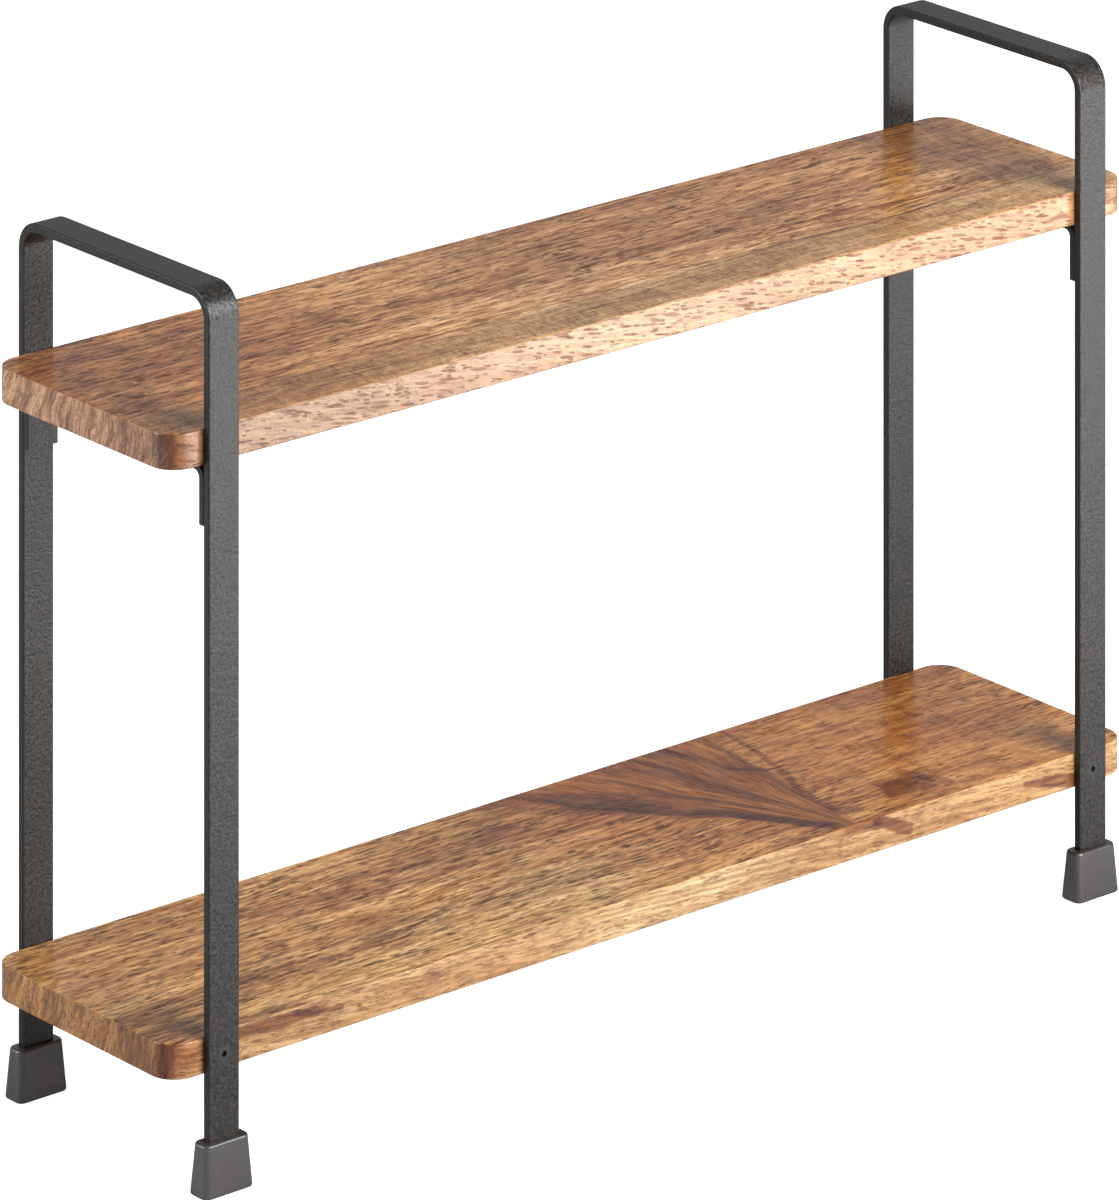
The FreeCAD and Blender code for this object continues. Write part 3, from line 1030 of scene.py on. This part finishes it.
@dataclass
class Bracket:
    """Angle bracket under the upper board, welded inside a leg, with one screw hole."""

    side: Side
    face: Face
    finish: PowderCoat
    thickness: float = 3.0 * MM
    edge_radius: float = 0.4 * MM
    bend_inner_radius: float = 3.0 * MM
    hole_radius: float = 2.25 * MM
    hole_from_leg: float = 15.5 * MM

    @property
    def node(self) -> str:
        """Name of the CAD node."""
        return f"bracket_{self.side.name.lower()}_{self.face.name.lower()}"

    def make(self) -> None:
        """Build the bracket and put it in place, the back ones as a mirror of the front ones."""
        low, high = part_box(self.node)
        half = self.thickness / 2
        near, far = sorted((low.y * -self.face.value, high.y * -self.face.value))
        bar = BentBar((high.x - low.x) / 2, half, self.edge_radius, 3, 8)
        corners = np.array([[near + half, low.z], [near + half, high.z - half], [far, high.z - half]])
        radius = self.bend_inner_radius + half
        straight = high.z - half - radius - low.z
        chord = 2 * radius * math.sin(QUARTER / 2 / bar.bend_steps)
        along = straight + bar.bend_steps * chord + self.hole_from_leg - half - radius
        profile = np.array([[self.hole_radius, 0.0], [self.hole_radius, self.thickness]])
        shell = bar.shell((low.x + high.x) / 2, -self.face.value, corners, radius, [(along, profile)])
        settle(shell.piece(self.node + "_plate"), self.finish, "frame_powder_coat", self.node)


@dataclass
class Foot:
    """Tapered rubber cap over a leg's end."""

    side: Side
    face: Face
    finish: MouldedRubber
    base: tuple[float, float] = (26.4 * MM, 12.7 * MM)
    top: tuple[float, float] = (23.6 * MM, 9.4 * MM)
    pocket: tuple[float, float] = (16.0 * MM, EndFrame.thickness)
    pocket_floor: float = 4.0 * MM
    corner_radius: float = 3.4 * MM
    pocket_radius: float = EndFrame.edge_radius
    base_edge_radius: float = 1.1 * MM
    top_edge_radius: float = 1.0 * MM
    mouth_radius: float = 0.35 * MM
    steps: int = 8

    @property
    def node(self) -> str:
        """Name of the CAD node."""
        return f"foot_{self.side.name.lower()}_{self.face.name.lower()}"

    def rows(self, height: float) -> Array:
        """Rows of (half length, half depth, corner radius, z) from the base up and into the pocket.

        The walls lean in evenly from base to top. Each rounded rim is inset by r * (1 - cos a)
        while it climbs by r * (1 - sin a). The pocket's mouth is rounded the other way.

        Args:
            height: Height of the cap.

        Returns:
            An array of shape (rows, 4).
        """
        turn = np.linspace(QUARTER, 0, self.steps + 1)
        base_z = self.base_edge_radius * (1 - np.sin(turn))
        top_z = height - self.top_edge_radius * (1 - np.sin(turn[::-1]))
        z = np.concatenate([base_z, top_z])
        inset = np.concatenate([self.base_edge_radius * (1 - np.cos(turn)),
                                self.top_edge_radius * (1 - np.cos(turn[::-1]))])
        lean = z / height
        half_x = (self.base[0] + (self.top[0] - self.base[0]) * lean) / 2 - inset
        half_y = (self.base[1] + (self.top[1] - self.base[1]) * lean) / 2 - inset
        outer = np.stack([half_x, half_y, self.corner_radius - inset, z], axis=1)
        widen = self.mouth_radius * (1 - np.cos(turn))
        sink = height - self.mouth_radius * (1 - np.sin(turn))
        inner = np.stack([self.pocket[0] / 2 + widen, self.pocket[1] / 2 + widen,
                          self.pocket_radius + widen, sink], axis=1)
        floor = np.array([[self.pocket[0] / 2, self.pocket[1] / 2, self.pocket_radius, self.pocket_floor]])
        return np.concatenate([outer, inner, floor])

    def make(self) -> None:
        """Build the foot and put it in place."""
        low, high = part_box(self.node)
        rows = self.rows(high.z - low.z)
        loops = rounded_loops(rows[:, 0], rows[:, 1], rows[:, 2], self.steps)
        grid = np.empty((*loops.shape[:2], 3))
        fit = np.array([high.x - low.x, high.y - low.y]) / 2 / loops.max(axis=(0, 1))
        grid[..., :2] = loops * np.minimum(fit, 1) + np.array([low.x + high.x, low.y + high.y]) / 2
        grid[..., 2] = low.z + rows[:, 3][:, None]
        shell = Shell()
        shell.grid(grid)
        shell.flat(grid[0], [], (0, 1))
        shell.flat(grid[-1], [], (0, 1))
        settle(shell.piece(self.node + "_cap"), self.finish, "foot_rubber", self.node)


@dataclass
class Screw:
    """Wood screw with a threaded shank; its head's profile and drive are given by its kind."""

    shank_radius: float = 1.75 * MM
    thread_depth: float = 0.35 * MM
    pitch: float = 1.6 * MM
    point_length: float = 3.0 * MM
    around: int = 48
    rows_per_turn: int = 8

    def angles(self) -> Array:
        """Angles round the axis."""
        return np.linspace(0, 2 * math.pi, self.around, endpoint=False)

    def shank(self, start: float, end: float) -> Array:
        """Threaded shank that narrows to its point.

        The radius is the shank's, less a cosine wave that climbs one pitch for each turn, and it
        closes in evenly over the point's length.

        Args:
            start: Height under the head.
            end: Height of the point.

        Returns:
            Rows of radii round the axis with the height in the last column.
        """
        count = int((end - start) / self.pitch * self.rows_per_turn)
        height = np.linspace(start, end, count)
        phase = 2 * math.pi * height[:, None] / self.pitch - self.angles()[None, :]
        fade = np.clip((height - start) / self.pitch, 0, 1)[:, None]
        radius = self.shank_radius - fade * self.thread_depth * (0.5 - 0.5 * np.cos(phase))
        radius *= np.clip((end - height) / self.point_length, 0, 1)[:, None]
        return np.column_stack([radius, height])

    def ring(self, radius: Array | float, height: float) -> Array:
        """One row of the profile."""
        return np.append(np.broadcast_to(radius, self.around), height)[None]


@dataclass
class PanScrew(Screw):
    """Pan-head screw with a cross recess."""

    length: float = 12.0 * MM
    head_radius: float = 4.0 * MM
    head_height: float = 2.4 * MM
    rim_radius: float = 1.3 * MM
    recess_reach: float = 2.1 * MM
    recess_half_width: float = 0.45 * MM
    recess_depth: float = 1.4 * MM
    rim_steps: int = 6

    def profile(self) -> Array:
        """Rows from the recess floor out over the head and down the shank to the point.

        The cross is the least of reach / cos a and half width / |sin a|, a from the nearest arm.
        """
        arm = (self.angles() + QUARTER / 2) % QUARTER - QUARTER / 2
        cross = np.minimum(self.recess_reach / np.cos(arm),
                           self.recess_half_width / np.maximum(np.abs(np.sin(arm)), 1e-6))
        turn = np.linspace(0, QUARTER, self.rim_steps + 1)[:, None]
        reach = self.head_radius - self.rim_radius * (1 - np.sin(turn))
        rim = np.column_stack([np.broadcast_to(reach, (len(turn), self.around)),
                               -self.head_height + self.rim_radius * (1 - np.cos(turn))])
        floor = -self.head_height + self.recess_depth
        return np.concatenate([
            self.ring(0.0, floor), self.ring(cross, floor), self.ring(cross, -self.head_height), rim,
            self.ring(self.head_radius, 0.0), self.ring(self.shank_radius, 0.0),
            self.shank(0.0, self.length)])


@dataclass
class CountersunkScrew(Screw):
    """Countersunk screw with a hex socket."""

    length: float = 30.0 * MM
    head_radius: float = 3.2 * MM
    socket_apothem: float = 1.25 * MM
    socket_depth: float = 1.8 * MM

    def profile(self) -> Array:
        """Rows from the socket floor out over the head, down the cone and the shank.

        The hexagon's radius is its apothem / cos a, with a from the middle of the nearest flat.
        """
        sixth = math.pi / 3
        hexagon = self.socket_apothem / np.cos((self.angles() + sixth / 2) % sixth - sixth / 2)
        cone = self.head_radius - self.shank_radius
        return np.concatenate([
            self.ring(0.0, self.socket_depth), self.ring(hexagon, self.socket_depth),
            self.ring(hexagon, 0.0), self.ring(self.head_radius, 0.0),
            self.ring(self.shank_radius, cone), self.shank(cone, self.length)])


@dataclass
class ScrewSet:
    """The four screws of one CAD node, in one piece."""

    node: str
    screw: Screw
    finish: ScrewFinish
    slot: str
    places: list[tuple[Vector, Vector]]

    def make(self) -> None:
        """Build the screws and put them in place."""
        shell = Shell()
        profile = self.screw.profile()
        for seat, inward in self.places:
            shell.grid(turned(profile, seat, inward, self.screw.around))
        settle(shell.piece(self.node + "_set"), self.finish, self.slot, self.node)


# ---------------------------------------------------------------- the hutch
@dataclass
class Hutch:
    """The whole object: its finishes, its pieces and where its screws go."""

    coat: PowderCoat = PowderCoat()
    rubber: MouldedRubber = MouldedRubber()
    pilot_end_gap: float = 1.0 * MM

    def frame_x(self, side: Side) -> float:
        """Middle of one end frame along X."""
        low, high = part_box(f"{side.name.lower()}_frame")
        return (low.x + high.x) / 2

    def bracket_screw_places(self) -> list[tuple[Vector, Vector]]:
        """Head seat and driving direction of each upper screw."""
        low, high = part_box("upper_board")
        reach = (high.y - low.y) / 2 - Bracket.hole_from_leg
        return [(Vector((self.frame_x(side), face.value * reach, low.z - Bracket.thickness)),
                 Vector((0, 0, 1))) for side in Side for face in Face]

    def leg_screw_places(self) -> list[tuple[Vector, Vector]]:
        """Head face and driving direction of each lower screw."""
        low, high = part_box("lower_board")
        _, frame_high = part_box("left_frame")
        head_y, middle = frame_high.y - EndFrame.hole_sunk, (low.z + high.z) / 2
        return [(Vector((self.frame_x(side), face.value * head_y, middle)), Vector((0, -face.value, 0)))
                for side in Side for face in Face]

    def make(self) -> None:
        """Build every piece, board by board and end by end."""
        upper, lower = PanScrew(), CountersunkScrew()
        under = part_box("upper_board")[0].z
        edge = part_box("lower_board")[1].y
        pan_pilots = [(Vector((seat.x, seat.y, under)), way) for seat, way in self.bracket_screw_places()]
        leg_pilots = [(Vector((seat.x, math.copysign(edge, seat.y), seat.z)), way)
                      for seat, way in self.leg_screw_places()]
        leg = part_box("left_frame")[1].y - edge
        Board("upper_board", upper_wood(), pilots=pan_pilots,
              pilot_depth=upper.length - Bracket.thickness + self.pilot_end_gap).make()
        Board("lower_board", lower_wood(), pilots=leg_pilots,
              pilot_depth=lower.length + self.pilot_end_gap - leg + EndFrame.hole_sunk).make()
        for side in Side:
            EndFrame(side, self.coat).make(self.leg_screw_places()[0][0].z)
            for face in Face:
                Bracket(side, face, self.coat).make()
                Foot(side, face, self.rubber).make()
        ScrewSet("upper_board_screws", upper, ScrewFinish(), "screw_black_zinc",
                 self.bracket_screw_places()).make()
        painted = ScrewFinish(name="painted_screw", base=tone(30, 30, 29), worn=tone(46, 46, 45),
                              roughness=0.42, metallic=0.0)
        ScrewSet("lower_board_screws", lower, painted, "screw_painted", self.leg_screw_places()).make()


def upper_wood() -> Timber:
    """Wood of the upper board: a grey-brown stripe along the front and a pale, dashed edge."""
    grey, umber, plum, dark_figure_and_shade = (0.86, 0.96, 0.95), (0.46, 0.28, 0.16), (0.4, 0.27, 0.22), (0.24, 0.1, 0.05)
    amber = (0.9, 0.62, 0.45)
    return Timber(
        name="oiled_wood_upper", seed=1.7,
        face=Cut(stops=((0.15, tone(121, 64, 7)), (0.4, tone(161, 110, 61)), (0.6, tone(184, 133, 84)),
                        (0.85, tone(205, 157, 107))), pore=tone(66, 32, 14), dash=(9.0, 2.3),
                 streak=(26.0, 2.2), fleck_share=0.36, fibre=(11.0, 0.8), fibre_strength=0.65),
        edge=Cut(stops=((0.1, tone(136, 96, 64)), (0.5, tone(154, 115, 82)), (0.9, tone(164, 127, 94))),
                 pore=tone(94, 54, 28), streak=(60.0, 3.0), wave=(2.0, 60.0), slope=0.16,
                 dash=(8.5, 1.8), dash_share=0.75, dash_size=0.42, dash_strength=0.95, fleck_share=0.0),
        end=Cut(stops=((0.1, tone(94, 62, 43)), (0.5, tone(149, 109, 81)), (0.9, tone(180, 141, 108))),
                pore=tone(69, 43, 31), streak=(24.0, 2.6), band=(30.0, 9.0), wave=(5.0, 11.0), slope=0.25,
                dash=(3.0, 1.3), fleck_share=0.2, fibre=(4.0, 0.6)),
        face_wash=Wash(((1.01, 0.84, 0.6), (1.35, 1.38, 1.27), (1.06, 1.06, 1.04), (1.19, 1.18, 1.13),
                        (1.14, 1.11, 1.05), (1.32, 1.3, 1.16)),
                       ((1.16, 1.27, 1.43), (1.05, 1.09, 1.16), (0.91, 0.86, 0.81), (0.9, 0.86, 0.81))),
        edge_wash=Wash(((0.65, 0.63, 0.54), (0.79, 0.79, 0.66), (0.93, 1.02, 0.94), (0.91, 0.97, 0.9),
                        (0.89, 0.9, 0.77), (0.89, 0.85, 0.69))),
        swirls=(
            Swirl((238, 70), (246, -40), (20, 14), 16, strength=0.55,
                  cut=Cut(stops=((0.1, tone(95, 45, 7)), (0.9, tone(180, 131, 86))), pore=tone(60, 7, 7),
                          streak=(30.0, 3.0), band=(60.0, 14.0), wave=(8.0, 30.0))),
            Swirl((-290, -48), (290, -48), (13.5, 13), 2, strength=0.5,
                  cut=Cut(stops=((0.15, tone(132, 80, 38)), (0.85, tone(186, 135, 92))),
                          pore=tone(80, 44, 24), streak=(7.0, 2.0), band=(30.0, 8.0), dash=(4.5, 1.5),
                          dash_strength=1.0, fleck_share=0.3, fibre=(5.0, 0.9), wave=(4.0, 30.0))),
        ),
        face_marks=(
            Mark((-272, -47.5), (272, -48), (13.5, 13), 1.4, grey, 0.9, broken=0.15),
            Mark((-255, -44), (-150, -46), (7, 4), 8, plum, 0.55, broken=0.85),
            Mark((-150, -44), (262, -48), (6, 5), 8, umber, 0.4, broken=0.95),
            Mark((40, -34.2), (250, -35.5), (0.6, 0.3), 1.3, dark_figure_and_shade, 0.8),
            Mark((-272, -33.6), (-150, -33.8), (0.4, 0.2), 1.2, umber, 0.7),
            Mark((-275, 16), (-165, 6), (34, 12), 26, umber, 0.42, broken=0.5),
            Mark((-10, 14), (165, 2), (8, 12), 14, umber, 0.62, broken=0.75),
            Mark((-132, 18), (-126, 12), (5, 5), 5, umber, 0.6),
            Mark((-96, 12), (-84, 4), (5, 4), 6, umber, 0.55),
            Mark((-62, 28), (-58, 20), (5, 4), 5, umber, 0.55),
            Mark((150, 52), (268, 56), (10, 12), 14, umber, 0.42, broken=0.7),
            Mark((192, -26), (266, -22), (5, 9), 8, plum, 0.7, broken=0.5),
            Mark((205, 12), (262, 10), (14, 22), 14, plum, 0.45, broken=0.7),
            # Partly painted shadow of the front-left leg, partly the wood's own dark tone: a dark plum
            # patch at the front-left corner of the top.
            Mark((-274, -54), (-240, -46), (13, 3), 8, plum, 0.8),
        ),
        edge_marks=(
            Mark((-266, 316), (-266, 299), (7, 7), 5, amber, 0.9, broken=0.1),
            # Painted shade, partly the wood's own darker tone: a dark band down the rounded front-left
            # corner, where it turns towards the unlit side of the room; the end marks carry it on.
            Mark((-275, 316), (-275, 299), (6, 6), 4, plum, 0.8, broken=0.2),
        ),
        end_marks=(
            # Painted shade, partly the end grain's own darker tone: the end's front part and the rounded
            # front corner are darkened, most in a thin band along the corner.
            Mark((280, -46), (335, -44), (13, 13), 12, plum, 0.6, broken=0.4),
            Mark((280, -57), (335, -57), (2.5, 2.5), 3, dark_figure_and_shade, 0.9, broken=0.1),
        ),
    )


def lower_wood() -> Timber:
    """Wood of the lower board: golden, with a forked branch figure right of the middle."""
    dark, red, dark_figure_and_shade, plum = (0.34, 0.08, 0.02), (0.5, 0.28, 0.16), (0.4, 0.27, 0.16), (0.36, 0.17, 0.1)
    straw, amber, rust = (1.2, 1.26, 1.3), (0.9, 0.62, 0.45), (0.4, 0.22, 0.16)
    return Timber(
        name="oiled_wood_lower", seed=12.4,
        face=Cut(stops=((0.15, tone(127, 73, 9)), (0.4, tone(159, 108, 54)), (0.6, tone(178, 130, 74)),
                        (0.85, tone(198, 154, 98))), pore=tone(58, 28, 12), dash=(10.0, 2.3),
                 streak=(28.0, 2.2), fleck_share=0.36, fibre=(11.0, 0.8), fibre_strength=0.65),
        edge=Cut(stops=((0.1, tone(128, 89, 55)), (0.5, tone(162, 127, 86)), (0.9, tone(182, 150, 108))),
                 pore=tone(96, 57, 30), streak=(50.0, 2.2), wave=(3.0, 50.0), slope=0.05,
                 dash=(7.0, 1.4), dash_share=0.8, dash_strength=0.8),
        end=Cut(stops=((0.1, tone(85, 53, 26)), (0.5, tone(137, 92, 48)), (0.9, tone(168, 123, 70))),
                pore=tone(63, 40, 25), streak=(24.0, 2.4), band=(30.0, 9.0), wave=(5.0, 11.0), slope=0.3,
                dash=(3.0, 1.3), fleck_share=0.2, fibre=(4.0, 0.6)),
        face_wash=Wash(((1.07, 1.11, 1.1), (1.23, 1.34, 1.47), (1.05, 1.18, 1.36), (1.0, 0.86, 0.73),
                        (0.79, 0.63, 0.47), (1.13, 0.98, 0.78)),
                       ((0.98, 1.0, 1.03), (1.02, 1.0, 1.01), (0.93, 0.86, 0.81), (0.94, 0.9, 0.87))),
        edge_wash=Wash(((0.85, 0.8, 0.73), (0.93, 0.88, 0.83), (1.1, 1.22, 1.28), (1.14, 1.3, 1.43),
                        (0.86, 0.8, 0.74), (1.0, 0.97, 0.89))),
        swirls=(
            Swirl((60, 96), (107, -60), (74, 2), 4, focus=(108, -68),
                  cut=Cut(stops=((0.1, tone(88, 48, 12)), (0.4, tone(127, 79, 28)),
                                 (0.62, tone(152, 100, 44)), (0.9, tone(184, 135, 76))),
                          pore=tone(68, 32, 10), streak=(70.0, 3.6),
                          band=(120.0, 10.0), fleck=(30.0, 4.0), dash_strength=0.25, dash=(14.0, 1.6),
                          fleck_share=0.25, wave=(5.0, 40.0))),
            Swirl((176, 80), (196, -80), (44, 50), 24, strength=0.32,
                  cut=Cut(stops=((0.1, tone(111, 60, 7)), (0.5, tone(148, 98, 45)),
                                 (0.9, tone(174, 125, 73))),
                          pore=tone(81, 21, 7), streak=(34.0, 3.6), band=(70.0, 14.0), dash_strength=0.3,
                          dash=(7.0, 2.2), fleck_share=0.2, wave=(9.0, 40.0))),
        ),
        face_marks=(
            Mark((-262, 34), (-120, 46), (8, 14), 14, straw, 0.7, broken=0.5),
            Mark((-180, 2), (40, -4), (8, 6), 9, straw, 0.75, broken=0.6),
            Mark((-150, -46), (70, -48), (5, 5), 8, straw, 0.5, broken=0.7),
            Mark((-165, 26), (-20, 24), (4, 8), 10, red, 0.75, broken=0.6),
            Mark((-274, 8), (-170, 16), (2, 4), 7, red, 0.5, broken=0.7),
            Mark((-220, -24), (60, -24), (4, 6), 7, dark_figure_and_shade, 0.85, broken=0.9),
            Mark((-274, -27), (-204, -32), (8, 5), 6, dark_figure_and_shade, 0.85, broken=0.6),
            Mark((-274, -44), (-236, -42), (3, 1), 3, dark_figure_and_shade, 0.85, broken=0.6),
            Mark((-30, 34), (58, 12), (6, 10), 12, red, 0.8, broken=0.5),
            Mark((-2, 66), (58, 8), (7, 6), 10, red, 0.8, broken=0.5),
            Mark((2, 66), (46, 28), (4.5, 3.0), 5.0, plum, 0.55),
            Mark((40, 33), (102, -58), (1.0, 2.0), 3.4, dark, 0.7, bow=-2),
            Mark((66, -4), (101, -56), (1.6, 3.0), 3.0, dark, 0.9, bow=-2),
            Mark((68, 66), (92, -14), (4.5, 2.0), 6.0, red, 0.7),
            Mark((98, 66), (109, 24), (0.5, 0.8), 2.2, dark, 0.7, bow=1),
            Mark((108, 26), (123, 11), (0.9, 1.0), 2.0, dark, 0.85, bow=-1),
            Mark((135, 66), (125, 10), (0.5, 1.0), 1.8, dark, 0.8, bow=3.5),
            Mark((125, 12), (112, -44), (1.3, 0.8), 2.2, dark, 0.85, bow=-1),
            Mark((108, -42), (124, -47), (3, 2), 4, red, 0.8),
            Mark((141, -38), (168, -44), (8.0, 7.5), 2.0, rust, 0.95, broken=0.15),
            Mark((164, -26), (173, -52), (2.4, 2.6), 2.0, rust, 0.8, broken=0.15),
            Mark((190, 58), (268, 60), (6, 8), 9, red, 0.5, broken=0.6),
            Mark((185, -2), (268, -22), (10, 12), 18, red, 0.35, broken=0.6),
            Mark((-232, -57), (-200, -60), (2.5, 1), 2, plum, 0.8),
            # Partly painted shadow of the front-left leg, partly the wood's own dark tone: a dark plum
            # patch at the front-left corner of the top.
            Mark((-274, -56), (-244, -48), (11, 3), 7, plum, 0.8),
        ),
        edge_marks=(
            Mark((-250, 62), (-188, 61), (3.4, 0.8), 2.0, plum, 0.95, broken=0.2),
            Mark((-205, 63), (-180, 57), (0.8, 0.5), 1.2, plum, 0.8, broken=0.1),
            Mark((117, 63), (141, 53), (1.6, 2.2), 1.4, plum, 0.95, broken=0.1),
            Mark((100, 62), (122, 62), (0.5, 2.5), 2.4, red, 0.9, broken=0.1),
            Mark((208, 58), (248, 51), (0.4, 3.4), 1.4, plum, 0.9, broken=0.2),
            Mark((-266, 64), (-266, 49), (7, 7), 5, amber, 0.9, broken=0.1),
            # Painted shade, partly the wood's own darker tone: a dark band down the rounded front-left
            # corner, where it turns towards the unlit side of the room; the end marks carry it on.
            Mark((-275, 64), (-275, 49), (6, 6), 4, dark_figure_and_shade, 0.8, broken=0.2),
        ),
        end_marks=(
            # Painted shade, partly the end grain's own darker tone: the end's front part and the rounded
            # front corner are darkened, most in a thin band along the corner.
            Mark((30, -46), (85, -44), (13, 13), 12, plum, 0.6, broken=0.4),
            Mark((30, -57), (85, -57), (2.5, 2.5), 3, dark, 0.85, broken=0.1),
        ),
    )


# ---------------------------------------------------------------- studio
@dataclass(frozen=True)
class Softbox:
    """A soft area light aimed at a point of the hutch."""

    name: str
    place: tuple[float, float, float]
    aim: tuple[float, float, float]
    size: tuple[float, float]
    radiance: float
    spread: float = math.pi

    def make(self) -> None:
        """Add the light; its power gives the wanted radiance over its area."""
        data = bpy.data.lights.new(self.name, "AREA")
        data.shape = "RECTANGLE"
        data.size, data.size_y = self.size
        data.spread = self.spread
        data.energy = self.radiance * math.pi * self.size[0] * self.size[1]
        light = bpy.data.objects.new(self.name, data)
        light.location = self.place
        light.rotation_euler = (Vector(self.aim) - Vector(self.place)).to_track_quat("-Z", "Y").to_euler()
        light.visible_camera = False
        bpy.context.scene.collection.objects.link(light)
        LOG.info("light %s", self.name)


@dataclass(frozen=True)
class ViewCamera:
    """Camera whose film stays upright: it looks down at the hutch, yet its uprights stay parallel."""

    heading: float = 0.699
    place: tuple[float, float, float] = (-2.6101, -3.0931, 1.6004)
    film_side: float = 36.0
    focal_in_film_sides: float = 7.752917
    drop: float = 0.3534

    def make(self) -> None:
        """Add the camera under a carrier that shears its film upright."""
        ahead = Vector((math.sin(self.heading), math.cos(self.heading), 0))
        right = Vector((math.cos(self.heading), -math.sin(self.heading), 0))
        up = Vector((0, 0, 1))
        back = (self.drop * up - ahead).normalized()
        carrier_matrix = Matrix.Identity(4)
        for column, part in enumerate((right, up, back, Vector(self.place))):
            for row in range(3):
                carrier_matrix[row][column] = part[row]
        data = bpy.data.cameras.new("view_camera")
        data.sensor_width = self.film_side
        data.lens = self.focal_in_film_sides * self.film_side * math.hypot(1, self.drop)
        camera = bpy.data.objects.new("view_camera", data)
        carrier = bpy.data.objects.new("camera_carrier", None)
        for thing in (camera, carrier):
            bpy.context.scene.collection.objects.link(thing)
        camera.parent = carrier
        camera.matrix_parent_inverse = carrier_matrix
        bpy.context.scene.camera = camera


@dataclass(frozen=True)
class Studio:
    """Pale floor, two softboxes, a lit backdrop, a light on the floor before the hutch, a dim room."""

    floor_side: float = 24.0
    floor_tone: float = 0.5
    floor_lift: float = 0.9
    room: float = 0.35
    lights: tuple[Softbox, ...] = (
        Softbox("key_front", (0.36, -1.6, 0.95), (0, 0, 0.2), (1.2, 1.0), 18.5),
        Softbox("fill_left", (-1.6, 0.6, 0.7), (0, 0, 0.2), (1.2, 0.9), 9.0),
        Softbox("backdrop", (2.6, 3.1, 1.5), (0, 0, 0.2), (4.5, 1.9), 0.14),
        Softbox("floor_pool", (0.85, -1.1, 0.9), (0.85, -1.1, 0.0), (1.6, 1.0), 16.0, math.radians(80)),
    )

    def floor(self) -> None:
        """Add the floor, bright to the lens and quieter to the hutch."""
        half = self.floor_side / 2
        mesh = bpy.data.meshes.new("floor")
        mesh.from_pydata([(-half, -half, 0), (half, -half, 0), (half, half, 0), (-half, half, 0)],
                         [], [(0, 1, 2, 3)])
        floor = bpy.data.objects.new("floor", mesh)
        bpy.context.scene.collection.objects.link(floor)
        paint = bpy.data.materials.new("pale_floor")
        paint.use_nodes = True
        graph = Graph(paint.node_tree)
        nodes = paint.node_tree.nodes
        matt = nodes["Principled BSDF"]
        matt.inputs["Base Color"].default_value = (*[self.floor_tone] * 3, 1)
        matt.inputs["Roughness"].default_value = 1.0
        matt.inputs["Specular IOR Level"].default_value = 0.0
        glow = graph.add("Emission")
        glow.inputs["Strength"].default_value = self.floor_lift
        both = graph.add("AddShader")
        graph.feed(both.inputs[0], matt.outputs[0])
        graph.feed(both.inputs[1], glow.outputs[0])
        pick = graph.add("MixShader")
        graph.feed(pick.inputs[0], graph.add("LightPath").outputs["Is Camera Ray"])
        graph.feed(pick.inputs[1], matt.outputs[0])
        graph.feed(pick.inputs[2], both.outputs[0])
        graph.feed(nodes["Material Output"].inputs["Surface"], pick.outputs[0])
        mesh.materials.append(paint)

    def world(self) -> None:
        """Light the room dimly, and show it pale to the lens."""
        world = bpy.data.worlds.new("studio_room")
        bpy.context.scene.world = world
        world.use_nodes = True
        graph = Graph(world.node_tree)
        background = world.node_tree.nodes["Background"]
        seen = graph.add("LightPath").outputs["Is Camera Ray"]
        background.inputs["Color"].default_value = (1, 1, 1, 1)
        strength = graph.math("MULTIPLY_ADD", seen, 1.0 - self.room, self.room)
        graph.feed(background.inputs["Strength"], strength)

    def make(self) -> None:
        """Add the floor, the room, the lights and the camera."""
        self.floor()
        self.world()
        for light in self.lights:
            light.make()
        ViewCamera().make()
        bpy.context.scene.view_settings.view_transform = "Standard"


def main() -> None:
    """Build the hutch in its studio."""
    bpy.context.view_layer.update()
    Hutch().make()
    Studio().make()
    bpy.context.view_layer.update()
    LOG.info("sizes written")


if __name__ == "__main__":
    main()
